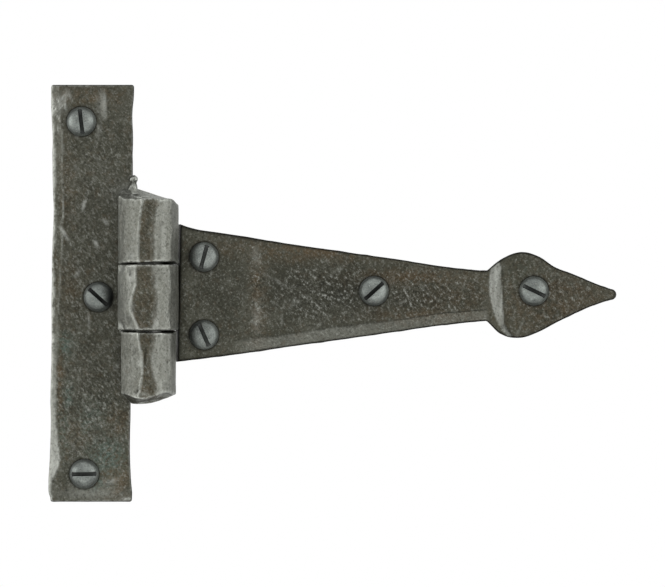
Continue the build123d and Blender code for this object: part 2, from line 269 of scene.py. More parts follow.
# Worn and grime-and-shade attributes from the mesh's own bends: the mean slope down to a vertex's neighbours over
# their distance, spread by a few rounds of averaging. Convex places shine, and hollow ones darken with dirt and
# painted shade, except in the painted-light zones, and the given dirt and painted shade count where stronger. The
# ridge is the bend at which either is full.
def markWear(piece, ridge, rounds, dirtAndShade=0, paintedLightZones=()):
    mesh, place = piece.data, placesOf(piece)
    count = len(place)
    normal = np.empty(count * 3, np.float32)
    mesh.vertex_normals.foreach_get("vector", normal)
    ends = np.empty(len(mesh.edges) * 2, np.int32)
    mesh.edges.foreach_get("vertices", ends)
    near, far = np.concatenate([ends[::2], ends[1::2]]), np.concatenate([ends[1::2], ends[::2]])
    step = place[near] - place[far]
    length = np.maximum((step ** 2).sum(1), 0.01)
    neighbours = np.maximum(np.bincount(near, minlength=count), 1)
    bend = np.bincount(near, (normal.reshape(-1, 3)[near] * step).sum(1) / length, count) / neighbours
    keep = 0.4
    for _ in range(rounds):
        bend = keep * bend + (1 - keep) * np.bincount(near, bend[far], count) / neighbours
    grimeAndShade = np.clip(-bend / ridge, 0, 1) * (1 - zoneStrength(place[:, 0], place[:, 2], paintedLightZones))
    setMark(piece, "worn", np.clip(bend / ridge - 0.12, 0, 1))
    setMark(piece, "grimeAndShade", np.maximum(grimeAndShade, dirtAndShade))


# One attribute a stain, strongest at its zones' middles. Scratches and folds are rubbed pale, and the places that the
# leaf's own shine names are made pale, some as painted highlights. The rolls carry their facets' own tones, partly
# painted light and shade.
def markZones(piece, settings, ownShine):
    x, y, z = placesOf(piece).T
    values = {name: zoneStrength(x, z, patches) for name, patches in settings["stains"].items()}
    shines = [settings["shine"] * scratchShine(x, z, mark) for mark in settings["marks"]]
    shines += [1.6 * np.clip(mark[5] - 0.15, 0, 1) * fold(x, z, mark) / mark[5] for mark in settings["folds"]]
    values["paleAndHighlight"] = np.max([values["paleAndHighlight"], ownShine(x, y, z)] + shines, axis=0)
    for name in settings["rolls"]:
        facetTones(x, y, z, name, values)
    for name, value in values.items():
        setMark(piece, name, value)


# Values read from the model
pinLow, pinHigh = (np.array(corner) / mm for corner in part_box("hinge_pin"))
pinX, pinY = (pinLow + pinHigh)[:2] / 2
_, plateHigh = (np.array(corner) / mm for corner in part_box("flange_plate"))
_, strapHigh = (np.array(corner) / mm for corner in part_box("strap_arm"))

leaf = {
    "thickness": 4.5,
    "boreRadius": 5.12,
    "pinToBack": 5.05,       # bore radius that the back plane is set out from
    "seamGap": 0.35,
    "holeRadius": 2.75,
    "headRadius": 4.75,
    "cell": 0.46,            # spacing of the grids
    "shadeAngle": 42,        # bends steeper than this stay sharp
    "wearRidge": 0.3,
    "edgeCalm": (-0.2, 1.2),       # distances in from an edge between which the wear grows
}
backRadius = leaf["thickness"] + leaf["pinToBack"]
arcPerDegree = backRadius / 57.3      # millimetres round a roll


# Fixed leaf: the flat bar

plate = {
    "screws": "plate", "rolls": ("top", "bottom"),
    "width": 26.4,
    "cornerRadius": 0.8,
    "frontSoft": {"left": 0.5, "right": 0.3, "top": 0.35, "low": 0.35},
    "backSoft": 0.3,
    "backDrawIn": (0.1, 0.3),      # how far the sides draw in towards the back
    "seeds": (11, 31),
    "wall": {"rows": 5, "inset": 9, "bulge": 0.03, "rough": 0.05, "cell": 3.0, "seed": 5},
    # the long edges wander: share of the half height, offset outwards
    "leftWander": [
        (0.98, 0), (0.9, 0), (0.8, -0.35), (0.55, -0.45), (0.36, -0.8), (0.24, -0.45), (0.06, -0.2),
        (-0.25, -0.12), (-0.5, 0.15), (-0.7, 0.2), (-0.8, 0.5), (-0.92, 0.85), (-0.965, 0.6), (-0.98, 0.2),
    ],
    "rightWander": [
        (0.98, 0.6), (0.94, 0.5), (0.86, 0.05), (0.8, 0.18), (0.62, 0.2), (0.2, 0), (-0.4, -0.3),
        (-0.9, -0.36), (-0.965, 0), (-0.98, -0.05),
    ],
    # hammered bevel down the left edge: share of the half height, width, depth at the edge
    "bevelWidth": [
        (0.98, 2.2), (0.88, 2.8), (0.45, 3.1), (0, 2.9), (-0.18, 1.9), (-0.5, 1.7), (-0.7, 2.3), (-0.82, 3.0),
        (-0.9, 1.3), (-0.98, 0.6),
    ],
    "bevelDepth": [
        (0.98, 0.6), (0.88, 0.9), (0.45, 1.0), (0, 0.9), (-0.18, 0.7), (-0.5, 0.9), (-0.7, 1.35), (-0.82, 1.7),
        (-0.9, 0.5), (-0.98, 0.2),
    ],
    # a thin lip along the bevel's crease, down to its narrow part: height, half width, where it fades
    "lip": (0.13, 0.3), "lipFade": (-0.35, 0.1),
    # dents and nicks: X, Z, half length, half width, turn, depth
    "marks": [
        (-11.9, 59.6, 1.3, 0.25, 62, 0.3), (-10.9, 62.6, 1.3, 0.25, 118, 0.3), (-9.4, 63.4, 1.3, 0.28, 66, 0.3),
        (-9.8, 60.4, 1.1, 0.25, 38, 0.28), (-11.0, 57.4, 1.1, 0.25, 122, 0.28), (-8.4, 60.8, 1.4, 0.28, 98, 0.3),
        (-10.8, 53.0, 1.6, 0.25, 100, 0.26), (-7.2, 64.6, 1.8, 0.5, 115, 0.2), (2.6, 52.6, 2.6, 0.7, 80, 0.14),
        (-2.4, 28.4, 1.4, 0.5, 75, 0.26), (-9.0, 19.3, 2.3, 0.42, -58, 0.3), (1.6, 16.2, 1.3, 0.48, 115, 0.26),
        (4.4, 23.2, 1.0, 0.45, -50, 0.24), (-4.5, 6.2, 1.2, 0.6, 60, 0.2), (-0.8, -8.6, 1.8, 0.35, 95, 0.2),
        (1.9, 43.0, 3.2, 0.5, -60, 0.12), (0.6, 38.6, 2.4, 0.4, -70, 0.12), (-5.2, 41.0, 1.4, 0.4, -65, 0.14),
        (8.2, -24.0, 1.6, 0.5, 40, 0.14), (-1.0, -38.0, 2.2, 0.6, -35, 0.12), (6.4, -61.5, 2.4, 0.8, 15, 0.18),
        (11.6, 31.5, 1.4, 0.5, 60, 0.2), (-6.0, -50.0, 1.8, 0.5, -60, 0.14), (3.0, -47.5, 1.6, 0.5, 20, 0.12),
    ],
    "folds": [
        (4.4, 61.4, 4.2, 1.9, 92, 0.5), (-8.4, 63.0, 2.6, 1.5, 78, 0.42), (-11.2, 60.6, 2.2, 1.2, 100, 0.35),
        (9.6, 41.0, 3.5, 1.6, 75, 0.1),
    ],
    "coarse": [(0, -36, 12, 17, 1.0), (3, 20, 12, 22, 0.5), (3, 45, 8, 12, 0.6)],
    "shine": 7,      # how bright the marks' lips are
    # share of the half height, paleness of the bevel
    "bevelPale": [
        (-1, 0.2), (-0.91, 0.4), (-0.88, 0.64), (-0.74, 0.68), (-0.6, 0.56), (-0.45, 0.4), (-0.32, 0.24),
        (-0.15, 0.1), (1, 0.14),
    ],
    "arrisHighlight": 0.8, "arrisY": -3.2,      # painted highlight on the left arris, and the Y it lies in front of
    "notch": (9.5, -12.65, 10.05),      # left end, low and high edges, for the strap's roll
    "paintedLightZones": [(20, 33.4, 10, 2.6, 0.95)],   # the slope behind the top rim, kept free of hollow darkening so that it stands lit, a painted light
    # stains: X, Z, half width, half height, strength
    "stains": {
        "brown": [
            (-10.3, -27, 1.1, 13, 1.0), (8, -60, 6, 8, 0.8), (-2, 64, 10, 3, 0.6), (9, -42, 5, 4, 0.7),
            (-6, -45, 6, 6, 0.5), (-7, 2, 5, 9, 0.4), (-8, 35, 3, 16, 0.35),
        ],
        "green": [
            (-9, -17, 3.0, 4, 0.8), (-7.4, -33, 1.6, 4, 0.8), (5, -53, 6, 6, 0.9), (-1.5, -43, 2, 3, 0.7),
            (2, -62, 5, 2.5, 0.7), (-9, -45, 2, 8, 0.5), (0, -40, 5, 6, 0.4),
        ],
        # soot darkening the plate, with a painted shadow right of the middle screw where the roll shades it, and
        # darker down the right edge by the rolls
        "sootAndShade": [(6.6, -2.6, 2.0, 4.4, 0.9), (12.6, -20, 2.2, 26, 0.3), (0, 0, 16, 40, 0.18)],
        # paler places, among them a painted highlight on the slope behind the top rim and beside it, and one at the
        # low right corner
        "paleAndHighlight": [
            (-10.2, 61.6, 1.6, 2.6, 0.5), (13.6, 36.0, 1.2, 2.6, 0.2), (20.5, 32.4, 9, 3.4, 1.0),
            (11.8, 31.6, 2.2, 1.2, 0.4), (0, -65, 11, 2.0, 0.3), (11.6, -66.9, 2.0, 0.5, 0.9),
        ],
        "coarse": [(0, -36, 14, 19, 1.0), (3, 42, 11, 26, 0.8), (0, 10, 20, 34, 0.65)],
        "granular": [(0, -38, 40, 42, 0.5), (0, 34, 40, 34, 0.32)],
    },
}

# Screws: X, Z, turn of the slot anticlockwise from +X, how much painted light lies on its floor, seat above the back
screws = {
    "plate": [(-3.3, 55.8, 97, 0.14, 4.5), (2.2, -1.2, -42, 0.0, 4.5), (-2.4, -58.7, 1, 0.12, 4.5)],
    "strap": [
        (36.55, 11.825, 75, 0.24, 4.49), (36.55, -13.525, -66, 0.2, 4.49), (91.8, 0.75, 42, 0.0, 4.19),
        (143.8, 0.75, -26, 0.16, 4.5),
    ],
}


def headDistance(x, z, group):  # distance to the middle of the nearest screw
    return np.min([np.hypot(x - screwX, z - screwZ) for screwX, screwZ, *_ in screws[group]], axis=0)


# Wear of a leaf's face. Strokes run down to the right, longer than they are wide.
face = {
    "dish": (8.5, 0.13),                  # hammer dishes: cell, depth
    "wave": (11, 0.07, 2),                # broad waves: cell, depth, seed step
    "stroke": (0.02, 0.055, 1.0, 4),      # file strokes: depth, added where coarse, cell, seed step
    "strokeTurn": (0.32, 0.75),           # how much they shrink along and across
    "finePit": (1.9, 0.13, 0.3, 0.35, 6),   # rust pits: cell, depth, share, added where coarse, seed step
    "widePit": (4.3, 0.14, 0.22, 9),
    "underHead": (-0.4, 1.2),             # distances past a head's rim between which the wear grows
}


# The sum of the wear and of the listed marks, in millimetres. Coarse zones have deeper strokes and more
# pits. It fades under the screw heads, which sit flat.
def faceRelief(x, z, settings, seed):
    rough = zoneStrength(x, z, settings["coarse"])
    cell, depth, seedStep = face["wave"]
    relief = hammerDishes(x, z, *face["dish"], seed) + depth * layeredNoise(x, z, cell, seed + seedStep, 2)
    shorter, longer = face["strokeTurn"]
    even, added, cell, seedStep = face["stroke"]
    relief += (even + added * rough) * layeredNoise((x - z) * shorter, (x + z) * longer, cell, seed + seedStep, 2)
    cell, depth, even, added, seedStep = face["finePit"]
    relief += rustPits(x, z, cell, depth, even + added * rough, seed + seedStep) * (0.45 + 0.55 * rough)
    cell, depth, density, seedStep = face["widePit"]
    relief += rustPits(x, z, cell, depth, density, seed + seedStep)
    relief += sum(hollow(x, z, mark) for mark in settings["marks"])
    relief += sum(fold(x, z, mark) for mark in settings["folds"])
    nearest, clear = (leaf["headRadius"] + away for away in face["underHead"])
    return relief * smoothStep(headDistance(x, z, settings["screws"]), nearest, clear)


def plateShare(z):  # share of the plate's half height, as far as its curves are listed
    return np.clip(z / plateHigh[2], -0.98, 0.98)


# Left and right edges of the plate at a height, before its corners are rounded
def plateEdges(z):
    share = plateShare(z)
    ragged = 0.06 * layeredNoise(z, 0 * z, 5, 11)
    left = -plate["width"] / 2 - smoothCurve(plate["leftWander"], share) + ragged
    return left, plate["width"] / 2 + smoothCurve(plate["rightWander"], share) + 0.8 * ragged


# Distance in from the crease of the left bevel, below 0 on the bevel itself
def pastBevel(x, z):
    width = smoothCurve(plate["bevelWidth"], plateShare(z)) + 0.35 * softNoise(z, 0 * z, 7, 3)
    return x - plateEdges(z)[0] - width


# The back of either leaf: flat, with rounded edges and faint broad waves
def leafBack(x, z, drop, seed):
    return -drop - 0.05 - 0.04 * layeredNoise(x, z, 9, seed, 3)


# The plate's grid runs up Z and across X. Its edges follow the wandering outline, its corners are
# arcs, and its front stands at the thickness less the edge rounding and the bevel's even slope.
def plateBar():
    half, softs, soft = plateHigh[2], plate["frontSoft"], plate["frontSoft"]["left"]
    z = spreadRows(np.array(-half), np.array(half), soft, int(2 * half / leaf["cell"]))
    share, corner = plateShare(z), plate["cornerRadius"]
    inCorner = np.clip(corner - (half - np.abs(z)), 0, corner)
    cornerIn = corner - np.sqrt(corner ** 2 - inCorner ** 2)
    grids = []
    for side, drawIn in (("front", (0, 0)), ("back", plate["backDrawIn"])):
        left, right = plateEdges(z)
        left, right = left + cornerIn + drawIn[0], right - cornerIn - drawIn[1]
        x = spreadRows(left, right, soft, int(plate["width"] / leaf["cell"]))
        up = np.repeat(z[:, None], x.shape[1], axis=1)
        toSide, toEnd = np.minimum(x - left[:, None], right[:, None] - x), half - np.abs(up)
        edgeSoft = plate["backSoft"]
        if side == "front":    # each edge has its own rounding
            sideSoft = np.where(x < 0, softs["left"], softs["right"])
            edgeSoft = np.where(toSide < toEnd, sideSoft, np.where(up > 0, softs["top"], softs["low"]))
        distance = cornerDistance(toSide, toEnd, edgeSoft)
        drop = edgeDrop(distance, edgeSoft)
        if side == "back":
            y = leafBack(x, up, drop, plate["seeds"][1])
        else:
            slope = (smoothCurve(plate["bevelDepth"], share) / smoothCurve(plate["bevelWidth"], share))[:, None]
            inside = pastBevel(x, up)
            rise, halfWidth = plate["lip"]
            lip = rise * np.exp(-(inside / halfWidth) ** 2) * smoothStep(share, *plate["lipFade"])[:, None]
            relief = faceRelief(x, up, plate, plate["seeds"][0])
            y = drop + slope * np.clip(-inside, 0, None) - lip - leaf["thickness"]
            y = y - relief * smoothStep(distance, *leaf["edgeCalm"])
        grids.append(np.stack([x, y, up], axis=-1))
    return makePiece("flangePlate", *slabSurface(*grids, plate["wall"]))


# Rolls round the pin

# Corners run from the back (90) by way of the right side (0) and the front (-90): angle, how far the
# corner stands out, crown of the facet after it, and how its angle wanders from top to bottom.
rolls = {
    "top": {
        "side": -1, "tongueX": 9.0, "seed": 41, "endSoft": 0.55, "backCrown": 0.45,
        "corners": [
            (48, 0.15, 0.5, ()), (-3, 0.4, 0.15, (0, 2, -2, 1)), (-38, 0.2, 0.3, (3, -2, 2, -3, 0)),
            (-78, 0.05, -0.28, (7, 2, -1, -1, 0)), (-107, 0.3, 0.7, (8, 3, 0, -1, -1)),
            (-173, 0.25, 0.6, ()), (-228, 0.05, 0.4, ()),
        ],
        "dents": [
            (-128, 0.93, 1.6, 1.0, 0, 0.25), (-158, 0.5, 5.0, 1.2, 90, 0.18), (-62, 0.55, 6.0, 1.1, 85, 0.14),
        ],
    },
    "middle": {
        "side": 1, "tongueX": 34.0, "seed": 47, "endSoft": 0.6, "backCrown": 0.45,
        "corners": [
            (50, 0.05, 0.5, ()), (-5, 0.4, 0.25, (0, 2, -1)), (-44, 0.3, 0.3, (-2, 3, -2, 2)),
            (-75, 0.25, -0.12, (1, -3, -3, 2, 1, -1, -11)), (-120, 0.3, 0.5, (5, 6, 5, -2, -6, 4, 13)),
            (-174, 0.4, 0.6, ()), (-230, 0.05, 0.5, ()),
        ],
        "dents": [
            (-161, 0.06, 2.2, 1.6, 20, 0.55), (-130, 0.14, 1.6, 1.3, -30, 0.34), (-112, 0.08, 2.6, 1.0, 8, 0.3),
            (-118, 0.3, 1.9, 1.2, 70, 0.22), (-121, 0.62, 2.3, 1.3, 60, 0.3), (-108, 0.74, 1.8, 1.2, -50, 0.22),
            (-158, 0.93, 2.2, 1.4, -15, 0.5), (-132, 0.88, 1.8, 1.0, 35, 0.26), (-88, 0.5, 4.0, 1.8, 88, 0.14),
        ],
    },
    "bottom": {
        "side": -1, "tongueX": 9.0, "seed": 53, "endSoft": 0.5, "backCrown": 0.3,
        "corners": [
            (46, -0.65, 0.5, ()), (-4, -0.42, 0.2, (0, -2, 2)), (-35, -0.65, 0.3, (2, -2, 2, 0)),
            (-80, -0.6, -0.3, (7, 2, -5, -3, 6, 14)), (-110, -0.6, 0.45, (-1, 3, 8, 9, 5, -1)),
            (-170, -0.65, 0.5, ()), (-229, -0.65, 0.4, ()),
        ],
        "dents": [
            (-64, 0.05, 1.7, 0.8, 10, 0.35), (-112, 0.93, 1.5, 1.0, 30, 0.4), (-84, 0.62, 5.5, 1.5, 100, 0.22),
            (-125, 0.34, 1.5, 0.8, 40, 0.15), (-96, 0.4, 3.5, 0.7, 80, 0.16),
        ],
    },
}
rollEnds = {"top": (10.05, 30.75), "middle": (-11.95, 9.35), "bottom": (-32.95, -12.65)}
# Tones of the rolls, and the places that they hold for: outside a radius from the pin, in front of a Y,
# and from below the lower rim to just under the upper one
rollTone = {
    "paleAndHighlight": 0.42, "brown": 0.35, "leftDull": {"top": 0.26, "middle": 0.06, "bottom": 0.26},
    "innerRadius": 7, "behind": -4.6, "rimDepth": 4, "rimTop": 0.15, "slopeLeft": 14.6,
    # bright chips: X, Z, half width, half height, strength
    "chips": [
        (10.4, 7.8, 1.8, 1.0, 0.55), (12.8, 5.6, 1.0, 1.6, 0.45), (9.6, -10.6, 1.6, 0.8, 0.6),
        (13.6, -4.6, 0.7, 1.8, 0.5), (20.6, 7.4, 0.7, 1.6, 0.35), (21.2, -9.4, 0.8, 1.6, 0.4),
        (13.4, 12.0, 1.4, 0.8, 0.4), (15.9, -22.6, 0.7, 1.2, 0.4), (17.0, -32.6, 2.0, 0.7, 0.4),
        (24.4, -32.2, 2.4, 0.7, 0.4), (22.6, -13.2, 1.6, 0.5, 0.5),
    ],
}


# The corners with the closing ones added, and their angles at each share of the roll's height
def wanderingCorners(share, roll):
    corners = [(90, 0, roll["backCrown"], ())] + roll["corners"] + [(-270, 0, 0, ())]
    bends = []
    for angle, _, _, shifts in corners:
        wander = [(k / max(len(shifts) - 1, 1), shift) for k, shift in enumerate(shifts)]
        bends.append(angle + (smoothCurve(wander, share) if wander else 0 * share))
    return corners, bends


# Tones of a roll's facets: pale in streaks, partly as a painted highlight on the lit facets, with a brown and darker
# band between the two front ridges, and painted shade right of the right-hand ridge. Each fades over a few degrees.
def facetTones(x, y, z, name, values):
    low, high = rollEnds[name]
    share = np.clip((high - z) / (high - low), 0, 1)
    angle = np.degrees(np.arctan2(y - pinY, x - pinX))
    angle = np.where(angle > 90, angle - 360, angle)
    bends = wanderingCorners(share, rolls[name])[1]
    rightRidge, frontRidge, leftRidge = bends[3:6]
    band = smoothStep(angle, leftRidge + 0.5, leftRidge + 3.5)
    band = band * (1 - smoothStep(angle, frontRidge - 4, frontRidge + 9))
    onRoll = (np.hypot(x - pinX, y - pinY) > rollTone["innerRadius"]) & (z > low - rollTone["rimDepth"])
    onRoll = onRoll & (z < high - rollTone["rimTop"]) & (y < rollTone["behind"])
    paleAndHighlight = rollTone["paleAndHighlight"] * (1 + 0.3 * layeredNoise(angle * arcPerDegree, z / 7, 0.9, rolls[name]["seed"], 2))
    # painted shade: the facets past the right-hand ridge are made darker
    paleAndHighlight = paleAndHighlight * (1 - band) * (1 - 0.12 * smoothStep(angle, rightRidge - 1, rightRidge + 2))
    paleAndHighlight = paleAndHighlight * (1 - rollTone["leftDull"][name] * (1 - smoothStep(angle, leftRidge - 4, leftRidge - 1)))
    tones = {
        "paleAndHighlight": paleAndHighlight + zoneStrength(x, z, rollTone["chips"]), "brown": rollTone["brown"] * band, "green": 0,
        "coarse": 0.2 + 0.3 * band, "granular": 0.2, "sootAndShade": 0,
    }
    for stain, tone in tones.items():
        values[stain] = np.where(onRoll, tone, values[stain])
    if name == "top":      # the slope behind the top rim is cleared of stains, so that it stands pale as a painted highlight
        slope = (z > high - rollTone["rimTop"]) & (x > rollTone["slopeLeft"])
        for stain in ("coarse", "granular", "sootAndShade", "brown"):
            values[stain] = np.where(slope, 0, values[stain])


# Radius of a faceted ring. Between two corners it follows their straight chord, a crown added half way,
# and it is averaged over a few degrees, so that the ridges are softly rounded, the right front one most.
def ringRadius(angle, share, roll):
    corners, bends = wanderingCorners(share, roll)
    total, shifts = 0, (-1.8, -0.6, 0.6, 1.8)
    for shift in shifts:
        at = np.clip(angle + shift * (1 + 2.6 * np.exp(-((angle - bends[4]) / 9) ** 2)), -270, 90)
        radius = np.full(np.broadcast(at, share).shape, float(backRadius))
        for k in range(len(corners) - 1):
            r0, r1 = backRadius + corners[k][1], backRadius + corners[k + 1][1]
            span, past = np.radians(bends[k] - bends[k + 1]), np.radians(bends[k] - at)
            chord = r0 * r1 * np.sin(span) / (r0 * np.sin(past) + r1 * np.sin(span - past))
            crown = corners[k][2] * 4 * (past / span) * (1 - past / span)
            radius = np.where((at <= bends[k]) & (at >= bends[k + 1]), chord + crown, radius)
        total = total + radius
    return total / len(shifts)


# Ends of the rolls. Y and X are places in the frame, the rest are lengths, and shares from 0 to 1.
rims = {
    "ragged": (0.12, 4),           # height and cell of the rims' ripple
    "closing": (-13.2, -9.9), "closingGap": 0.07,
    # behind the top rim the end slopes up in two ramps, the front one flatter right of the leaf's edge
    "flare": 3.8, "flareFrom": 6.8, "frontRamp": (-15, -5), "backRamp": 4.6, "rampShare": (0.25, 0.6),
    "rampEdge": (12.3, 14.5), "shoulder": 3.0,
    "lean": {"top": 0.3, "bottom": -0.32}, "topDrop": 0.05,
    # the bottom rim sags across the roll, and is worn back along its front
    "sag": [(-1, 0), (-0.7, 0.75), (-0.3, 1), (0, 0.93), (0.3, 0.7), (0.7, 0.3), (1, 0)],
    "sagDepth": 3.0, "sagInset": 0.6, "wornBack": 1.7, "wornFrom": (12.2, 17.6),
}


# A slowly rippled rim: noise round the pin, in X and Y
def rimRipple(name, x, y, seedStep):
    height, cell = rims["ragged"]
    return height * layeredNoise(x, y, cell, rolls[name]["seed"] + seedStep, 2)


# The end that faces the strap's roll, leaning across the pin. From the pin backwards it closes up to
# that roll, and the light doesn't pass between them.
def closingEnd(name, height, x, y):
    front = height + rims["lean"][name] * np.clip((x - pinX) / backRadius, -1, 1)
    end, way = (1, 1) if name == "top" else (0, -1)
    met = rollEnds["middle"][end] + way * rims["closingGap"]
    return front + (met - front) * smoothStep(y, *rims["closing"])


# Top of each roll at a place round the pin, in X and Y. The top roll's slopes up behind its square front
# rim, most of all towards the leaf, and is rounded off on the right by an arc.
def rollTop(name, x, y):
    high, ripple = rollEnds[name][1], rimRipple(name, x, y, 1)
    if name == "middle":
        return high + 0 * x
    if name == "bottom":
        return closingEnd(name, high + ripple, x, y)
    shoulderX, (start, end), arc = pinX + rims["flareFrom"], rims["frontRamp"], rims["shoulder"]
    flare = rims["flare"] * np.clip((shoulderX - x) / (shoulderX - plate["width"] / 2), 0, 1)
    middle = rims["rampShare"][0] + rims["rampShare"][1] * (1 - smoothStep(x, *rims["rampEdge"]))
    behind = middle + (1 - middle) * np.clip((y - end) / rims["backRamp"], 0, 1)
    ramp = np.where(y < end, middle * smoothStep(y, start, end), behind)
    rounding = arc - np.sqrt(arc ** 2 - np.clip(x - shoulderX, 0, arc - 0.05) ** 2)
    return high + flare * ramp - rounding + ripple


# Bottom of each roll in the same way. The bottom roll's sags by a smooth curve.
def rollLow(name, x, y):
    low, ripple = rollEnds[name][0], rimRipple(name, x, y, 2)
    if name == "middle":
        return low + 0 * x
    if name == "top":
        return closingEnd(name, low - rims["topDrop"] + ripple, x, y)
    sag = smoothCurve(rims["sag"], np.clip((x - pinX) / (backRadius - rims["sagInset"]), -1, 1))
    return low - rims["sagDepth"] * sag + rims["wornBack"] * smoothStep(-y, *rims["wornFrom"]) + ripple


# A strip rolled round the pin, as a slab bent along its length. Its outer grid follows the faceted ring
# from the seam round to the back, then the back plane; its inner grid follows the bore, then the
# tongue's front. Both run along Z, and the ends' rounding pulls each grid in towards the other.
def rollPiece(name):
    roll, (low, high), grids = rolls[name], rollEnds[name], []
    side, soft, seed = roll["side"], roll["endSoft"], roll["seed"]
    seamY = leaf["pinToBack"] - leaf["seamGap"]
    end = -270 if side > 0 else 90
    around = spreadRows(np.array(0.0), np.array(1.0), 0.012, 150)[:-6]
    around = around / around[-1]
    tongue = np.linspace(0, 1, int(abs(roll["tongueX"] - pinX) / leaf["cell"]))[1:]
    tongueX = pinX + (roll["tongueX"] - pinX) * tongue
    for outer, nominal, drawIn in ((True, backRadius, soft), (False, leaf["boreRadius"], 0.35)):
        seam = math.degrees(math.asin(seamY / nominal))
        start = seam if side > 0 else -180 - seam
        angle = start + (end - start) * around
        count, direction = len(angle), np.radians(angle)[:, None]
        stationX = np.concatenate([pinX + nominal * np.cos(direction[:, 0]), tongueX])
        flatY = 0 * tongueX - (0 if outer else leaf["thickness"])
        stationY = np.concatenate([pinY + nominal * np.sin(direction[:, 0]), flatY])
        bottom, top = rollLow(name, stationX, stationY), rollTop(name, stationX, stationY)
        z = spreadRows(bottom, top, soft, int((high - low) / leaf["cell"]))
        bottom, top = bottom[:, None], top[:, None]
        arc = np.concatenate([angle * arcPerDegree, end * arcPerDegree + abs(tongueX - pinX)])[:, None] + 0 * z
        toEnd = np.minimum(z - bottom, top - z)
        pull = edgeDrop(cornerDistance(toEnd, np.abs(arc - arc[0, 0]), drawIn), drawIn)
        if outer:
            relief = 0.05 * layeredNoise(arc, z, 5, seed, 3) + 0.018 * layeredNoise(arc, z, 1.3, seed + 9, 2)
            relief += rustPits(arc, z, 1.7, 0.07, 0.3, seed + 3)
            for at, height, *shape in roll["dents"]:
                relief += hollow(arc, z, (at * arcPerDegree, high - height * (high - low), *shape))
            share = ((top - z) / (top - bottom))[:count]
            radius = ringRadius(angle[:, None], share, roll) + relief[:count] - pull[:count]
            settle = smoothStep(np.abs(angle - end), 0, 25)[:, None]
            radius = radius * settle + (backRadius - pull[:count]) * (1 - settle)
        else:
            radius = leaf["boreRadius"] + pull[:count]
        # at the leaf's edge the tongue sinks into the leaf, so that the two surfaces never coincide
        edgeX = plate["width"] / 2 + 0.2 if side < 0 else strapSettings["rootX"] - 1.3
        dive = 0.45 * smoothStep(side * (tongueX - edgeX), 0, 1.1)[:, None] + 0.012 + pull[count:]
        flat = -dive if outer else dive - leaf["thickness"]
        gridX = np.concatenate([pinX + radius * np.cos(direction), tongueX[:, None] + 0 * flat])
        gridY = np.concatenate([pinY + radius * np.sin(direction), flat])
        grids.append(np.stack([gridX, gridY, z], axis=-1))
    wall = {"rows": 8, "inset": 9, "bulge": 0.05, "rough": 0.1, "cell": 2.0, "seed": seed + 5}
    return makePiece("roll" + name.title(), *slabSurface(*grids, wall))


# The nub left standing on the leaf's edge: a small ball on a flared stem that leans to the right
burr = {
    "foot": 32.2, "height": 6.3, "out": 0.25, "y": -3.7, "lean": 0.35, "leanFrom": 35, "leanRun": 3,
    "profile": [(0, 2.3), (0.25, 1.75), (0.47, 1.3), (0.56, 1.05), (0.76, 1.36), (0.9, 1.0), (1, 0)],
    "lumps": 0.12, "seed": 71, "sides": 28,
}


# Turns the burr's profile, a smooth curve of radius over height, made lumpy by noise round it
def burrPiece():
    height = np.linspace(0, 1, 26)[:, None]
    turn = np.linspace(0, 2 * math.pi, burr["sides"], endpoint=False)
    around, up = 3 * np.cos(turn) + 0 * height, 3 * np.sin(turn) + 6 * height
    radius = smoothCurve(burr["profile"], height) * (1 + burr["lumps"] * softNoise(around, up, 1.5, burr["seed"]))
    points, faces = turnedSurface(radius, burr["foot"] + burr["height"] * height, burr["sides"])
    lean = burr["lean"] * (points[:, 2] - burr["leanFrom"]) / burr["leanRun"]
    points[:, 0] += plate["width"] / 2 + burr["out"] + lean
    points[:, 1] += burr["y"]
    return makePiece("burr", points, faces)


# Swinging leaf: the strap

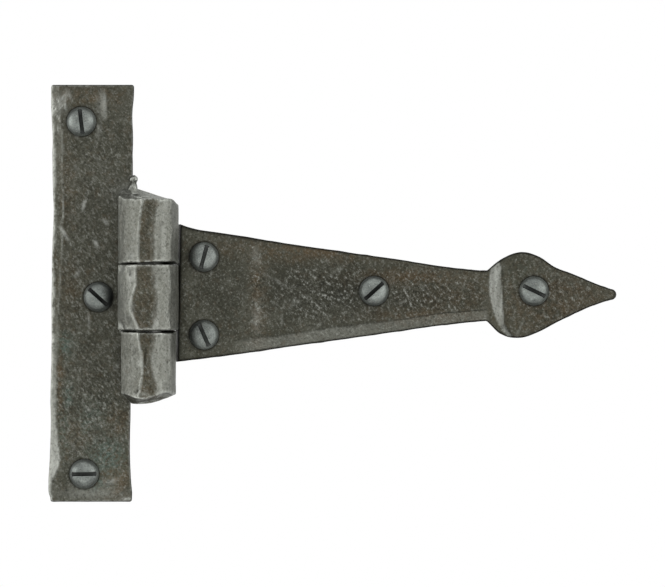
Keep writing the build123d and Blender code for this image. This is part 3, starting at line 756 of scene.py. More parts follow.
strapSettings = {
    "screws": "strap", "rolls": ("middle",),
    "rootX": 28.4, "rootTop": 21.5, "rootLow": -21.9, "rootLean": 0.45, "flick": 1.0, "flickRun": 7.5,
    "neckX": 128.5, "neckTop": 7.5, "neckLow": -8.9, "tipRadius": 1.75, "headZ": -0.4, "headHalf": 13.8,
    # arrow head's edges: share of its length from the neck, share of its half height
    "headTop": [
        (0, 0.555), (0.09, 0.785), (0.27, 1.0), (0.39, 0.91), (0.53, 0.64), (0.66, 0.49), (0.83, 0.27),
        (0.958, 0.125),
    ],
    "headLow": [
        (0, 0.63), (0.10, 0.91), (0.26, 1.02), (0.40, 0.88), (0.55, 0.64), (0.70, 0.42), (0.84, 0.24),
        (0.958, 0.125),
    ],
    # the straight edges wander: X, offset upwards
    "topWander": [
        (28, 0), (48, -0.05), (61, -0.35), (81, -0.45), (100, -0.55), (120, -0.7), (127, -0.3), (128.5, -0.2),
    ],
    "lowWander": [
        (28, -0.4), (37, -0.4), (48, -0.4), (61, -0.2), (87, 0), (100, 0.22), (120, 0.28), (126, 0),
        (128.5, -0.1),
    ],
    # thickness along the strap: X, millimetres
    "drawnFrom": (104.5, 4.1), "neckThickness": 3.3, "tipThickness": 3.2, "taperShare": 0.55,
    "bossX": 129.05, "bossZ": 3.5, "bossRadius": 28.0, "bossRight": (133.65, -0.07),
    "frontSoft": 0.4, "backSoft": 0.3, "undercut": 0.15, "seeds": (13, 37),
    "wall": {"rows": 5, "inset": 9, "bulge": 0.08, "rough": 0.12, "cell": 3.0, "seed": 6},
    # the root's end slants back under the face, and its line leans for a short way
    "rootSlant": 0.95, "slantRun": 4, "leanRun": 20,
    "bevelFrom": 44.5, "bevelFade": 8.0, "bevelWidth": (4.4, 3.7), "bevelSlope": 0.34,
    # painted highlight on the head's slope, even and in streaks, and paleness of the bevel, less what blur takes. The
    # blur is the least, what is added, and the X between which it grows. Both lie in front of shineY.
    "slopeHighlight": (0.72, 0.34), "bevelPale": (0.19, 0.05), "bevelBlur": (0.15, 0.9, 84, 112), "shineY": -2,
    "marks": [
        (78.0, 17.0, 3.0, 0.5, -20, 0.1), (60.0, 4.0, 4.2, 0.5, -28, 0.16), (66.0, -3.4, 2.0, 0.8, 30, 0.16),
        (70.4, -13.4, 1.6, 0.5, 40, 0.2), (62.0, -8.6, 1.8, 0.4, 90, 0.2), (73.5, -11.0, 2.6, 0.5, 30, 0.14),
        (46.0, -14.5, 2.6, 0.3, 92, 0.12), (51.6, -16.0, 1.2, 0.5, 0, 0.16), (58.4, -16.8, 0.8, 0.5, 0, 0.2),
        (80.0, 7.4, 3.4, 0.6, 35, 0.14), (98.0, 4.4, 2.0, 1.0, 80, 0.14), (101.0, -3.0, 1.6, 0.6, 10, 0.16),
        (108.0, 1.6, 2.2, 0.8, -50, 0.14), (139.4, -11.2, 2.8, 0.35, 68, 0.2), (131.0, 6.5, 1.4, 0.4, 70, 0.14),
        (53.0, 8.4, 2.0, 0.6, 80, 0.12), (56.0, -1.0, 1.4, 0.6, 100, 0.14), (148.0, -3.6, 3.0, 1.4, 20, 0.08),
    ],
    "folds": [],
    "shine": 2.2,
    "coarse": [(72, -2, 18, 12, 0.9), (98, -1, 16, 8, 1.0), (54, 0, 4, 16, 0.6), (118, 0, 8, 6, 0.5)],
    "paintedLightZones": [],
    # stains: X, Z, half width, half height, strength
    "stains": {
        "brown": [
            (80, 14, 34, 3.5, 1.0), (54, 0, 2.4, 20, 0.8), (104, 5, 20, 3, 0.9), (108, -7, 18, 2.5, 0.8),
            (150, -2, 18, 10, 0.7), (116, 0, 14, 8, 0.5),
        ],
        "green": [(142, 5, 8, 5, 0.2)],
        # soot darkening the strap's middle, with a painted shadow beside the root and left of the two root screws
        "sootAndShade": [
            (80, 0, 26, 11, 0.78), (66, 2, 12, 9, 0.66), (106, -1, 20, 8, 0.62), (29.2, 0, 1.8, 26, 0.45),
            (31.4, 11.8, 1.0, 3.6, 0.7), (31.4, -13.5, 1.0, 3.6, 0.7), (152, 0, 20, 12, 0.38),
            (44, 0, 14, 20, 0.36),
        ],
        "paleAndHighlight": [(53.6, -8, 1.4, 5, 0.25), (53.4, 12, 1.2, 3, 0.25)],
        "coarse": [(72, -4, 14, 8, 0.2)],
        "granular": [
            (78, 0, 22, 12, 1.0), (108, 0, 20, 10, 1.0), (54, 0, 3, 20, 0.9), (150, 0, 18, 14, 0.7),
            (40, 0, 30, 30, 0.32),
        ],
    },
}


# How far up the head's sloping left side a place lies, from 0 to 1: between an arc on the left and a
# slanting line on the right
def bossRise(x, z):
    s = strapSettings
    down = np.clip(z - s["bossZ"], -s["bossRadius"], s["bossRadius"])
    arcX = s["bossX"] + s["bossRadius"] - np.sqrt(s["bossRadius"] ** 2 - down ** 2)
    lineX = s["bossRight"][0] + s["bossRight"][1] * z
    ragged = 0.16 * softNoise(z, 0 * z, 2.6, 61)
    return np.clip((x - arcX - ragged) / np.maximum(lineX - arcX, 1.7), 0, 1)


# Distance in from the crease of the bevel along the strap's lower edge, and the bevel's share of its depth
def bevelReach(x, z, lower):
    s = strapSettings
    width = np.interp(x, [s["bevelFrom"], s["neckX"]], s["bevelWidth"]) + 0.3 * softNoise(x, 0 * x, 6, 5)
    fade = smoothStep(x, s["bevelFrom"], s["bevelFrom"] + s["bevelFade"])
    return width - (z - lower), fade * (1 - smoothStep(x, s["neckX"] - 1, s["neckX"] + 1.5))


# Thickness of the strap's face above the back: straight draws between the listed places, then the head
def strapThickness(x, z):
    s = strapSettings
    neckX, tipX = s["neckX"], strapHigh[0]
    taperX = neckX + s["taperShare"] * (tipX - neckX)
    drawnX, drawnT = s["drawnFrom"]
    strap = np.interp(x, [s["rootX"], drawnX, neckX], [leaf["thickness"], drawnT, s["neckThickness"]])
    head = np.interp(x, [neckX, taperX, tipX], [leaf["thickness"], leaf["thickness"], s["tipThickness"]])
    return np.where(x < neckX, strap, s["neckThickness"] + (head - s["neckThickness"]) * bossRise(x, z))


# Upper and lower edge of the strap at x: straight lines that wander by smooth curves, with a flick at the
# root, then the smooth curves of the head, closed by a circle at the tip
def strapEdges(x):
    s = strapSettings
    neckX, tipX = s["neckX"], strapHigh[0]
    along = np.clip((x - neckX) / (tipX - neckX), 0, 0.958)
    upper = s["headZ"] + s["headHalf"] * smoothCurve(s["headTop"], along)
    lower = s["headZ"] - s["headHalf"] * smoothCurve(s["headLow"], along)
    nose = np.sqrt(np.clip(s["tipRadius"] ** 2 - np.clip(x - tipX + s["tipRadius"], 0, None) ** 2, 0, None))
    inNose = x > tipX - s["tipRadius"]
    upper, lower = np.where(inNose, s["headZ"] + nose, upper), np.where(inNose, s["headZ"] - nose, lower)
    before = (x - s["rootX"]) / (neckX - s["rootX"])
    flick = s["flick"] * np.clip(1 - (x - s["rootX"]) / s["flickRun"], 0, 1) ** 2
    wave = 0.05 * layeredNoise(x, 0 * x, 6, 67, 3)
    top = s["rootTop"] + (s["neckTop"] - s["rootTop"]) * before + flick + wave + smoothCurve(s["topWander"], x)
    low = s["rootLow"] + (s["neckLow"] - s["rootLow"]) * before - wave + smoothCurve(s["lowWander"], x)
    return np.where(x < neckX, top, upper), np.where(x < neckX, low, lower)


# The strap's grid runs along X and across Z between its two edges, and leans with the root. Quarter
# circles round its front and back, and the bevel's even slope thins its front.
def strapBar():
    s = strapSettings
    soft, rootX, tipX = s["frontSoft"], s["rootX"], strapHigh[0]
    along = spreadRows(np.array(rootX), np.array(tipX), soft, int((tipX - rootX) / leaf["cell"]))
    upper, lower = strapEdges(along)
    undercut = s["undercut"] * smoothStep(along, rootX, rootX + 3) * smoothStep(-along, -tipX, -tipX + 3)
    z = spreadRows(lower, upper, soft, int(2 * s["rootTop"] / leaf["cell"]))
    leaning = np.clip(1 - (along[:, None] - rootX) / s["leanRun"], 0, 1)
    x = along[:, None] + s["rootLean"] * (z - z[:1].mean()) / s["rootTop"] * leaning
    steep = np.abs(np.gradient(upper, along))
    lie = 1 / np.sqrt(1 + np.minimum(steep, 2) ** 2)[:, None]
    toEdge = np.minimum(z - lower[:, None], upper[:, None] - z) * lie
    toEnd = np.minimum(along - rootX, tipX - along)[:, None]

    distance = cornerDistance(toEdge, toEnd, soft)
    reach, fade = bevelReach(x, z, lower[:, None])
    bevel = fade * s["bevelSlope"] * np.clip(reach, 0, None)
    relief = faceRelief(x, z, s, s["seeds"][0])
    relief = relief * smoothStep(x, rootX + 0.2, rootX + 2.5) * smoothStep(distance, *leaf["edgeCalm"])
    front = np.stack([x, edgeDrop(distance, soft) + bevel - strapThickness(x, z) - relief, z], axis=-1)

    drop = edgeDrop(cornerDistance(toEdge, toEnd, s["backSoft"]), s["backSoft"])
    y = leafBack(x, z, drop, s["seeds"][1])
    inwards = undercut[:, None] * np.sign(z - (upper + lower)[:, None] / 2) * np.clip(1.5 - toEdge, 0, 1.5) / 1.5
    x = x - s["rootSlant"] * (1 - smoothStep(along, rootX, rootX + s["slantRun"]))[:, None]
    return makePiece("strapArm", *slabSurface(front, np.stack([x, y, z - inwards], axis=-1), s["wall"]))


# Holes, wear and tones of both leaves

def holeCutter(x, z):  # a closed round bar across the leaf
    rings = np.array([-12.0, -6.0, 0.0, 6.0])[:, None]
    points, faces = turnedSurface(leaf["holeRadius"] + 0 * rings, rings, 40)
    return makePiece("hole", points[:, [0, 2, 1]] + np.array([x, 0, z]), faces)


def blockCutter(low, high):  # a closed block of a few rows between two corners
    x, z = np.linspace(low[0], high[0], 6), np.linspace(low[2], high[2], 8)
    gridX, gridZ = np.meshgrid(x, z, indexing="ij")
    faces = [np.stack([gridX, gridX * 0 + y, gridZ], axis=-1) for y in (low[1], high[1])]
    wall = {"rows": 3, "inset": 1, "bulge": 0, "rough": 0, "cell": 3.0, "seed": 6}
    return makePiece("block", *slabSurface(*faces, wall))


# A painted contact shadow in a ring round the screw heads: strength, half width and the Y it lies in front of.
# Painted shade along the bar's edges: strength, distances in and depths between which it fades, depth past the front
dirtAndShade = {
    "ring": 0.9, "ringWidth": 0.4, "ringY": -1.5,
    "rim": 0.9, "rimFade": (0.2, 0.44), "rimDepths": (1.2, 4.2), "rimFront": 0.25,
    "plateRight": 13.9, "strapLeft": 27.0, "rootSlope": 0.02, "away": 9,
}


# Strength of the painted shade: a Gaussian ring of painted contact shadow round each head, and the painted shade
# along the edges where it is stronger
def leafPaintedShade(place, group, edgeDistance):
    x, y, z = place.T
    fromHead = headDistance(x, z, group) - leaf["headRadius"]
    ring = np.where(y < dirtAndShade["ringY"], dirtAndShade["ring"] * np.exp(-(fromHead / dirtAndShade["ringWidth"]) ** 2), 0)
    rim = dirtAndShade["rim"] * (1 - smoothStep(edgeDistance(x, z), *dirtAndShade["rimFade"])) * smoothStep(-y, *dirtAndShade["rimDepths"])
    return np.maximum(ring, np.where(y > -leaf["thickness"] - dirtAndShade["rimFront"], rim, 0))


def plateRim(x, z):    # the painted shade along the edges spares the plate's left edge, which stands lit, and the rolls are left out
    inside = np.minimum(plateEdges(z)[1] - x, plateHigh[2] - np.abs(z))
    return np.where(x < dirtAndShade["plateRight"], inside, dirtAndShade["away"])


def strapRim(x, z):    # every edge of the strap
    upper, lower = strapEdges(x)
    fromRoot = x - strapSettings["rootX"] - dirtAndShade["rootSlope"] * z
    return np.where(x > dirtAndShade["strapLeft"], np.minimum(np.minimum(upper - z, z - lower), fromRoot), dirtAndShade["away"])


# Paler parts of the plate: its bevel by a smooth curve up Z, and a painted highlight on its left arris where noise
# breaks it
def plateShine(x, y, z):
    onBevel = smoothStep(-pastBevel(x, z), -0.05, 0.25) * smoothCurve(plate["bevelPale"], z / plateHigh[2])
    arris = 1 - smoothStep(x - plateEdges(z)[0], 0.5, 1.6)
    broken = smoothStep(layeredNoise(x, z, 3.0, 77, 2), -0.5, 0.3)
    return np.maximum(onBevel, np.where(y < plate["arrisY"], plate["arrisHighlight"] * arris * broken, 0))


# Paler parts of the strap: the sloping side of its head, a painted highlight with streaks down it, and its lower
# bevel, whose upper line blurs towards the neck
def strapShine(x, y, z):
    rise = bossRise(x, z)
    slope = smoothStep(rise, 0, 0.12) * (1 - smoothStep(rise, 0.9, 1))
    even, streaks = strapSettings["slopeHighlight"]
    slope = slope * (even + streaks * layeredNoise(x, z / 6, 0.9, 63, 2))
    reach, fade = bevelReach(x, z, strapEdges(x)[1])
    least, added, *run = strapSettings["bevelBlur"]
    blur = least + added * smoothStep(x, *run)
    paleAndHighlight, lost = strapSettings["bevelPale"]
    bevel = (paleAndHighlight - lost * blur) * fade * smoothStep(reach, -blur, blur)
    return np.where(y < strapSettings["shineY"], np.maximum(slope, bevel), 0)


# Drills a leaf for its screws, then gives it its wear, dirt, painted shade, painted highlights and stains
def finishLeaf(piece, settings, edgeDistance, ownShine):
    group = settings["screws"]
    for x, z, *_ in screws[group]:
        combine(piece, holeCutter(x, z), "DIFFERENCE")
    smoothShade(piece, leaf["shadeAngle"])
    markWear(piece, leaf["wearRidge"], 2, leafPaintedShade(placesOf(piece), group, edgeDistance), settings["paintedLightZones"])
    markZones(piece, settings, ownShine)
    return piece


# The plate, less the notch for the strap's roll, with its two rolls and the burr
def flangePlate():
    piece = plateBar()
    left, low, high = plate["notch"]
    combine(piece, blockCutter((left, -15, low), (pinX + 2, 6, high)), "DIFFERENCE")
    for other in (rollPiece("top"), rollPiece("bottom"), burrPiece()):
        combine(piece, other, "UNION")
    return finishLeaf(piece, plate, plateRim, plateShine)


def strapArm():    # the strap with its one roll
    piece = combine(strapBar(), rollPiece("middle"), "UNION")
    return finishLeaf(piece, strapSettings, strapRim, strapShine)


# Wood screws

screw = {
    "length": 32.0, "headRadius": 4.75, "headHeight": 3.4, "sides": 72, "wornEdge": 0.14, "wornAngle": 50,
    # dome: share of the head's radius, share of its height; rim height; underside: radius share, height
    "dome": [(0, 1), (0.33, 0.955), (0.66, 0.8), (0.88, 0.52)], "rim": 0.5,
    "under": [(1, 0.12), (0.97, 0.0), (0.8, 0.0), (0.4, 0.0), (0.0, 0.0)],
    "slotWidth": 1.3, "slotDepth": 1.25, "scratches": 0.03, "shadeAngle": 38, "wearRidge": 1.6,
    # dirt and painted shade in the slots: reach round the floor and to its walls, where painted light lies on the
    # floor, strength of the painted shade under the rim
    "floorReach": 0.3, "wallReach": 1.03, "floorLightSpan": (0.45, 0.95), "rimShade": 0.6,
    "sootAndShade": [(6.5, -2.2, 2.1, 4.2, 1.0), (36.5, -13.5, 5, 5, 0.14)],     # painted shadow beside the rolls, and a darker tone on one dull head
    "neckRadius": 2.6, "neckLength": 4.5, "shankRadius": 2.415, "shankLength": 6.0, "turnings": 40,
    "coreRadius": 1.72, "threadRadius": 2.4, "ridgeWidth": 0.42, "pitch": 1.95, "pointLength": 5.0,
}


# Head: the dome's profile is a smooth curve from the crown to its upright rim, and a slab cuts the slot
def screwHead():
    s = screw
    rise, radius, half = s["headHeight"], s["headRadius"], s["slotWidth"] / 2
    across, under = np.sin(np.linspace(0, 1, 20) * math.pi / 2), np.array(s["under"])
    knots = [(share, rise * height) for share, height in s["dome"]] + [(1, s["rim"])]
    profileR = np.concatenate([across, under[:, 0]]) * radius
    profileZ = np.concatenate([smoothCurve(knots, across), under[:, 1]])
    profileR[0] = profileR[-1] = 0.0
    head = makePiece("head", *turnedSurface(profileR[:, None], profileZ[:, None], s["sides"]))
    slot = blockCutter((-2 * radius, -half, rise - s["slotDepth"]), (2 * radius, half, 2 * rise))
    combine(head, slot, "DIFFERENCE")
    soften = head.modifiers.new("worn edges", "BEVEL")
    soften.width, soften.segments = s["wornEdge"] * mm, 2
    soften.limit_method, soften.angle_limit = "ANGLE", math.radians(s["wornAngle"])
    applyModifiers(head)
    return head


# Shank: radius along the length, with the thread's ridge wound on by comparing turn and height.
# The ridge is a triangle wave of (height / pitch - turn), faded in after the shank and out at the point.
def screwShank():
    s = screw
    start, plainEnd, length = s["neckLength"], s["neckLength"] + s["shankLength"], s["length"]
    down = np.concatenate([[-1.2], np.linspace(-0.4, plainEnd - 0.2, 14), np.linspace(plainEnd, length, 130)])
    down = down[:, None]
    turn = np.linspace(0, 2 * math.pi, s["turnings"], endpoint=False)
    places = [0, start - 0.05, start + 0.05, plainEnd, plainEnd + 1.2, length - s["pointLength"], length]
    neck, plain, core = s["neckRadius"], s["shankRadius"], s["coreRadius"]
    radius = np.interp(down, places, [neck, neck, plain, plain, core, core * 0.85, 0.02])
    phase = -down / s["pitch"] - turn / (2 * math.pi)
    ridge = np.clip(1 - np.abs(2 * (phase - np.floor(phase)) - 1) / s["ridgeWidth"], 0, 1)
    grown = smoothStep(down, plainEnd, plainEnd + 2.5) * (1 - smoothStep(down, length - 3.5, length - 0.2))
    taper = 1 - 0.3 * smoothStep(down, length - s["pointLength"] - 3, length)
    radius = radius + (s["threadRadius"] - core) * ridge * grown * taper
    radius[0] = radius[-1] = 0.0
    return makePiece("shank", *turnedSurface(radius, -down, s["turnings"]))


# One whole screw, lightly scratched by noise on its head, turned to face the front and moved to its place
def screwPiece(group, number):
    piece = combine(screwHead(), screwShank(), "UNION")
    x, z, turn, _, seat = screws[group][number]
    c, s = math.cos(math.radians(turn)), math.sin(math.radians(turn))
    across, up, out = placesOf(piece).T
    scratches = screw["scratches"] * layeredNoise(across + 20 * number, up, 1.1, 81, 2)
    out = out + np.where(out > 0.6, scratches, 0)
    moved = np.stack([across * c - up * s + x, -out - seat, across * s + up * c + z], axis=1)
    piece.data.vertices.foreach_set("co", (moved * mm).ravel())
    piece.data.update()
    return piece


# Dirt and painted shade packed in the slots, least on their floors' middles where painted light lies, painted shade
# under the heads' rims, and the painted shadow zones
def screwDirtAndShade(place, group):
    x, y, z = place.T
    value = zoneStrength(x, z, screw["sootAndShade"])
    for screwX, screwZ, turn, floorLight, seat in screws[group]:
        c, s, depth = math.cos(math.radians(turn)), math.sin(math.radians(turn)), -y - seat
        toWall = np.abs((z - screwZ) * c - (x - screwX) * s) / (screw["slotWidth"] / 2)
        onFloor = np.abs(depth - screw["headHeight"] + screw["slotDepth"]) < screw["floorReach"]
        slotDirtAndShade = 1 - floorLight * (1 - smoothStep(toWall, *screw["floorLightSpan"]))
        slotDirtAndShade = np.where(onFloor & (toWall < screw["wallReach"]), slotDirtAndShade, 0)
        slotDirtAndShade = np.maximum(slotDirtAndShade, screw["rimShade"] * smoothStep(-depth, -0.6, -0.1))
        here = np.hypot(x - screwX, z - screwZ) < screw["headRadius"] + 0.1
        value = np.where(here, np.maximum(value, slotDirtAndShade), value)
    return value


def screwGroup(name, group):    # all screws of one leaf, as one object
    joined = bmesh.new()
    for number in range(len(screws[group])):
        piece = screwPiece(group, number)
        joined.from_mesh(piece.data)
        bpy.data.objects.remove(piece)
    bmesh.ops.recalc_face_normals(joined, faces=joined.faces)
    whole = newObject(name, bpy.data.meshes.new(name))
    joined.to_mesh(whole.data)
    joined.free()
    smoothShade(whole, screw["shadeAngle"])
    markWear(whole, screw["wearRidge"], 1, screwDirtAndShade(placesOf(whole), group))
    return whole


# Pin: a plain bar whose ends are hammered into low domes
pin = {
    "radius": 5.0, "endRound": 0.9, "roundFrom": 3.9, "crown": 0.25, "endDepth": 1.5, "dents": 0.06,
    "dentDepth": 0.6, "sides": 64, "shadeAngle": 40, "wearRidge": 0.7,
}


# The domes fall by a squared sine from their crowns and are rounded off by 3t2 - 2t3, and noise dents them
def hingePin():
    low, high, radius, crown = pinLow[2], pinHigh[2], pin["radius"], pin["crown"]
    across = np.sin(np.linspace(0, 1, 10) * math.pi / 2)
    capR = radius * across
    capZ = crown * (1 - across ** 2) - pin["endRound"] * smoothStep(capR, pin["roundFrom"], radius)
    rings = np.concatenate([capR, np.full(8, radius), capR[::-1]])[:, None]
    inner = np.linspace(high - pin["endDepth"], low + pin["endDepth"], 8)
    height = np.concatenate([high - crown + capZ, inner, low + crown - capZ[::-1]])[:, None]
    points, faces = turnedSurface(rings, height, pin["sides"])
    dents = pin["dents"] * layeredNoise(points[:, 0], points[:, 1], 2.5, 91, 2)
    inside = (high - low) / 2 - np.abs(points[:, 2] - (low + high) / 2)
    points[:, 2] += np.where(inside < pin["dentDepth"], dents, 0)
    piece = makePiece("hingePin", points + np.array([pinX, pinY, 0]), faces)
    smoothShade(piece, pin["shadeAngle"])
    markWear(piece, pin["wearRidge"], 2)
    return piece


# Materials

def hexColour(code):  # sRGB hex to the linear colour that the shaders take
    part = np.array([int(code[i:i + 2], 16) for i in (1, 3, 5)]) / 255
    linear = np.where(part <= 0.04045, part / 12.92, ((part + 0.055) / 1.055) ** 2.4)
    return (*linear.tolist(), 1.0)


# Adds a node with its settings. An input is a value, or the socket that feeds it.
def addNode(tree, kind, settings=(), inputs=()):
    node = tree.nodes.new(kind)
    for name, value in dict(settings).items():
        setattr(node, name, value)
    for socket, value in dict(inputs).items():
        if isinstance(value, bpy.types.NodeSocket):
            tree.links.new(value, node.inputs[socket])
        else:
            node.inputs[socket].default_value = value
    return node


def newMaterial(name):    # a material with an empty tree
    material = bpy.data.materials.new(name)
    material.use_nodes = True
    material.node_tree.nodes.clear()
    return material, material.node_tree


# Noises of a worn skin: size in millimetres, detail, roughness, offset, length over width
skinNoises = {
    "mottle": (7.0, 6, 0.62, 0.0, 1.0), "blotch": (2.1, 5, 0.65, 0.31, 1.0), "fleck": (1.3, 4, 0.7, 0.53, 1.0),
    "stroke": (0.85, 3, 0.64, 0.23, 2.4), "grit": (0.85, 4, 0.7, 0.41, 1.5), "grain": (0.62, 3, 0.6, 0.17, 1.0),
}
# Layers of colour from the skin up: colour, the attribute that limits it, the noise that breaks it up,
# where in the noise it starts and is full, and its greatest share
skinLayers = [
    ("scale", None, "mottle", 0.36, 0.66, 1.0), ("brown", None, "blotch", 0.52, 0.7, 0.35),
    ("brown", "brown", "blotch", 0.3, 0.62, 1.0), ("green", "green", "fleck", 0.38, 0.6, 0.85),
    ("dirtAndShade", "sootAndShade", "blotch", 0.15, 0.6, 0.8), ("burnishedAndHighlight", "paleAndHighlight", "fleck", 0.15, 0.5, 1.0),
    ("burnishedAndHighlight", "coarse", "stroke", 0.53, 0.72, 0.62), ("dirtAndShade", "coarse", "stroke", 0.47, 0.29, 0.8),
    ("burnishedAndHighlight", "granular", "grit", 0.53, 0.69, 0.72), ("dirtAndShade", "granular", "grit", 0.48, 0.32, 0.95),
    ("burnishedAndHighlight", None, "grain", 0.54, 0.8, 0.45), ("dirtAndShade", None, "grain", 0.47, 0.27, 0.62),
    ("burnishedAndHighlight", "worn", "fleck", 0.34, 0.62, 1.0), ("dirtAndShade", "grimeAndShade", "fleck", 0.0, 0.05, 0.93),
]

# Forged mild steel, blackened by its forge scale, waxed and rubbed back: a dark olive grey with brown
# rust and a little green, bright ridges and painted highlights, dark hollows and painted shade
forgedLook = {
    "ground": "#38382f", "scale": "#44443b", "brown": "#4b402f", "green": "#4c5b54", "burnishedAndHighlight": "#8f918b",
    "dirtAndShade": "#15150f", "sizes": 1.0, "roughness": 0.46, "relief": 0.8,
}
# Zinc-grey patinated screw steel: smoother and a little bluer than the leaves, rubbed on the dome
screwLook = {
    "ground": "#5e625f", "scale": "#767b77", "brown": "#65625a", "green": "#6d7f7c", "burnishedAndHighlight": "#b9bcb8",
    "dirtAndShade": "#10100f", "sizes": 0.6, "roughness": 0.48, "relief": 0.3,
}
# Drawn bar for the pin: plain dark steel, scuffed on its hammered ends
pinLook = {
    "ground": "#474743", "scale": "#6a6a66", "brown": "#5b4b39", "green": "#5c665f", "burnishedAndHighlight": "#b4b5b0",
    "dirtAndShade": "#191815", "sizes": 0.7, "roughness": 0.42, "relief": 0.4,
}


# Builds the layers in order, then a roughness that is lower on worn places and higher in dirt and painted shade, and
# the relief of flecks and grain. Strokes of the hammer and the wire brush run down to the right.
def wornSteel(name, look):
    material, tree = newMaterial(name)
    place = addNode(tree, "ShaderNodeTexCoord").outputs["Object"]
    noises = {}
    for key, (size, detail, rough, offset, stretched) in skinNoises.items():
        spot = addNode(tree, "ShaderNodeMapping", {"vector_type": "TEXTURE"}, {
            "Vector": place, "Location": (offset, offset, offset), "Rotation": (0, math.radians(54), 0),
            "Scale": (stretched, 1, 1),
        })
        noises[key] = addNode(tree, "ShaderNodeTexNoise", {}, {
            "Vector": spot.outputs["Vector"], "Scale": 1 / (size * look["sizes"] * mm), "Detail": detail,
            "Roughness": rough,
        }).outputs["Fac"]
    marks = {}
    for key in ("brown", "green", "sootAndShade", "paleAndHighlight", "coarse", "granular", "worn", "grimeAndShade"):
        marks[key] = addNode(tree, "ShaderNodeAttribute", {"attribute_name": key}).outputs["Fac"]
    colour = hexColour(look["ground"])
    for tone, mark, key, start, full, most in skinLayers:
        share = addNode(tree, "ShaderNodeMapRange", {"interpolation_type": "SMOOTHSTEP"}, {
            "Value": noises[key], "From Min": start, "From Max": full, "To Min": 0.0, "To Max": most,
        }).outputs["Result"]
        if mark:
            share = addNode(tree, "ShaderNodeMath", {"operation": "MULTIPLY", "use_clamp": True},
                            {0: marks[mark], 1: share}).outputs[0]
        layer = addNode(tree, "ShaderNodeMix", {"data_type": "RGBA"}, {0: share, 6: colour, 7: hexColour(look[tone])})
        colour = layer.outputs[2]
    rough = addNode(tree, "ShaderNodeMapRange", {}, {
        "Value": noises["blotch"], "From Min": 0.3, "From Max": 0.7,
        "To Min": look["roughness"] - 0.06, "To Max": look["roughness"] + 0.1,
    }).outputs["Result"]
    for mark, change in (("worn", -0.12), ("grimeAndShade", 0.25)):
        rough = addNode(tree, "ShaderNodeMath", {"operation": "MULTIPLY_ADD", "use_clamp": True},
                        {0: marks[mark], 1: change, 2: rough}).outputs[0]
    bump = addNode(tree, "ShaderNodeBump", {}, {
        "Height": noises["fleck"], "Distance": 0.0003, "Strength": look["relief"],
    })
    bump = addNode(tree, "ShaderNodeBump", {}, {
        "Height": noises["grain"], "Distance": 0.00014, "Strength": look["relief"], "Normal": bump.outputs["Normal"],
    })
    shader = addNode(tree, "ShaderNodeBsdfPrincipled", {}, {
        "Base Color": colour, "Metallic": 0.85, "Roughness": rough, "Normal": bump.outputs["Normal"],
    })
    addNode(tree, "ShaderNodeOutputMaterial", {}, {"Surface": shader.outputs["BSDF"]})
    return material


# Studio: a pale floor, a white surround and four soft boxes, in millimetres but for the boxes
studio = {
    "viewX": 78.3, "viewZ": -0.07, "frameWidth": 216.1, "lens": 400.0, "sensor": 36.0,
    "surround": 0.42, "floorColour": "#dcdcda", "floorX": (-450, 600), "floorY": (-500, 100), "floorZ": -450.0,
    # soft boxes: name, place and aim in metres, width, height, power in watts
    "boxes": [
        ("boxLeft", (-0.85, -0.24, 0.12), (0.04, 0, 0), 0.9, 0.7, 5.5),
        ("boxRight", (0.85, -0.50, 0.10), (0.04, 0, 0), 0.6, 0.7, 4.5),
        ("boxLow", (0.08, -0.60, -0.42), (0.08, 0, 0), 0.7, 0.3, 2.4),
        ("boxTop", (0.08, -0.45, 0.75), (0.08, 0, 0), 0.7, 0.3, 1.4),
    ],
}


def placeCamera():    # far away, upright and level, in front of the middle of the part
    data = bpy.data.cameras.new("camera")
    data.lens, data.sensor_width = studio["lens"], studio["sensor"]
    data.clip_start, data.clip_end = 0.01, 20
    camera = newObject("camera", data)
    distance = studio["frameWidth"] * studio["lens"] / studio["sensor"]
    camera.location = (studio["viewX"] * mm, -(distance + leaf["thickness"]) * mm, studio["viewZ"] * mm)
    camera.rotation_euler = (math.radians(90), 0, 0)
    bpy.context.scene.camera = camera


# An area lamp turned to its aim: yaw and pitch are the angles of the line between them
def softBox(name, place, aim, width, height, power):
    data = bpy.data.lights.new(name, "AREA")
    data.shape, data.size, data.size_y, data.energy = "RECTANGLE", width, height, power
    box = newObject(name, data)
    box.location = place
    direction = np.array(aim) - np.array(place)
    yaw = math.atan2(direction[1], direction[0])
    pitch = math.atan2(direction[2], math.hypot(direction[0], direction[1]))
    box.rotation_euler = (math.radians(90) + pitch, 0, yaw - math.radians(90))


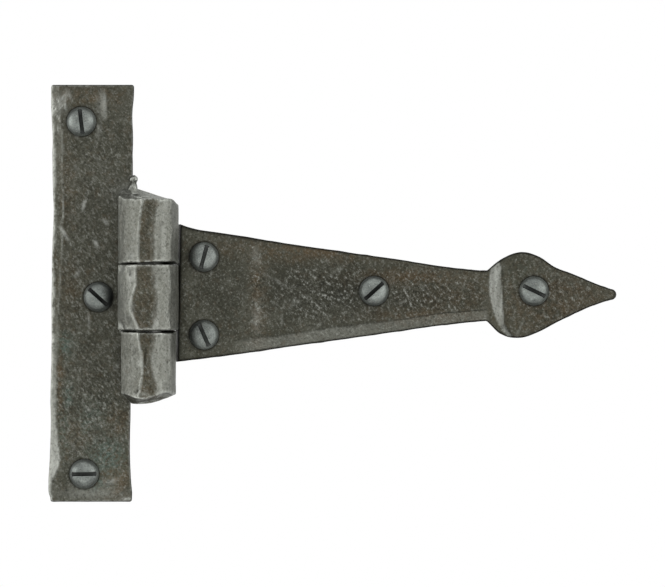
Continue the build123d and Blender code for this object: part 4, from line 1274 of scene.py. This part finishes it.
# A surround that is white where the camera or a reflection sees it and dimmer as a light, and the boxes
def lightStudio():
    world = bpy.data.worlds.new("surround")
    bpy.context.scene.world = world
    world.use_nodes = True
    tree = world.node_tree
    tree.nodes.clear()
    path = addNode(tree, "ShaderNodeLightPath")
    seen = path.outputs["Is Camera Ray"]
    for ray in ("Is Glossy Ray", "Is Transmission Ray"):
        seen = addNode(tree, "ShaderNodeMath", {"operation": "MAXIMUM"}, {0: seen, 1: path.outputs[ray]}).outputs[0]
    strength = addNode(tree, "ShaderNodeMapRange", {}, {
        "Value": seen, "To Min": studio["surround"], "To Max": 1.0,
    })
    white = addNode(tree, "ShaderNodeBackground", {}, {"Color": (1, 1, 1, 1), "Strength": strength.outputs["Result"]})
    addNode(tree, "ShaderNodeOutputWorld", {}, {"Surface": white.outputs["Background"]})
    for box in studio["boxes"]:
        softBox(*box)


# A flat grid far below the part, in matt photographic paper, even and pale
def paleFloor():
    (left, right), (front, back) = studio["floorX"], studio["floorY"]
    x, y = np.meshgrid(np.linspace(left, right, 12), np.linspace(front, back, 8), indexing="ij")
    points = np.stack([x, y, 0 * x + studio["floorZ"]], axis=-1).reshape(-1, 3)
    mesh = bpy.data.meshes.new("floor")
    mesh.from_pydata((points * mm).tolist(), [], gridFaces(np.arange(len(points)).reshape(x.shape)).tolist())
    floor = newObject("floor", mesh)
    material, tree = newMaterial("studioPaper")
    paper = {"Base Color": hexColour(studio["floorColour"]), "Roughness": 0.9}
    shader = addNode(tree, "ShaderNodeBsdfPrincipled", {}, paper)
    addNode(tree, "ShaderNodeOutputMaterial", {}, {"Surface": shader.outputs["BSDF"]})
    floor.data.materials.append(material)


# Gives a piece its material and its place in the frame, and counts its triangles
def finishPiece(piece, body, node, material):
    piece.data.materials.clear()
    piece.data.materials.append(material)
    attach(piece, body)
    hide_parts(node)
    piece.data.calc_loop_triangles()
    print(piece.name, len(piece.data.loop_triangles), "triangles")


leafSteel = wornSteel("forgedScaledSteel", forgedLook)
finishPiece(flangePlate(), "fixed_leaf", "flange_plate", leafSteel)
finishPiece(strapArm(), "swinging_strap", "strap_arm", leafSteel)
finishPiece(hingePin(), "fixed_leaf", "hinge_pin", wornSteel("drawnPinSteel", pinLook))
screwSteel = wornSteel("patinatedScrewSteel", screwLook)
finishPiece(screwGroup("plateScrews", "plate"), "fixed_leaf", "plate_screws", screwSteel)
finishPiece(screwGroup("strapScrews", "strap"), "swinging_strap", "strap_screws", screwSteel)

paleFloor()
placeCamera()
lightStudio()
bpy.context.scene.view_settings.view_transform = "Standard"
print("studio and camera placed")
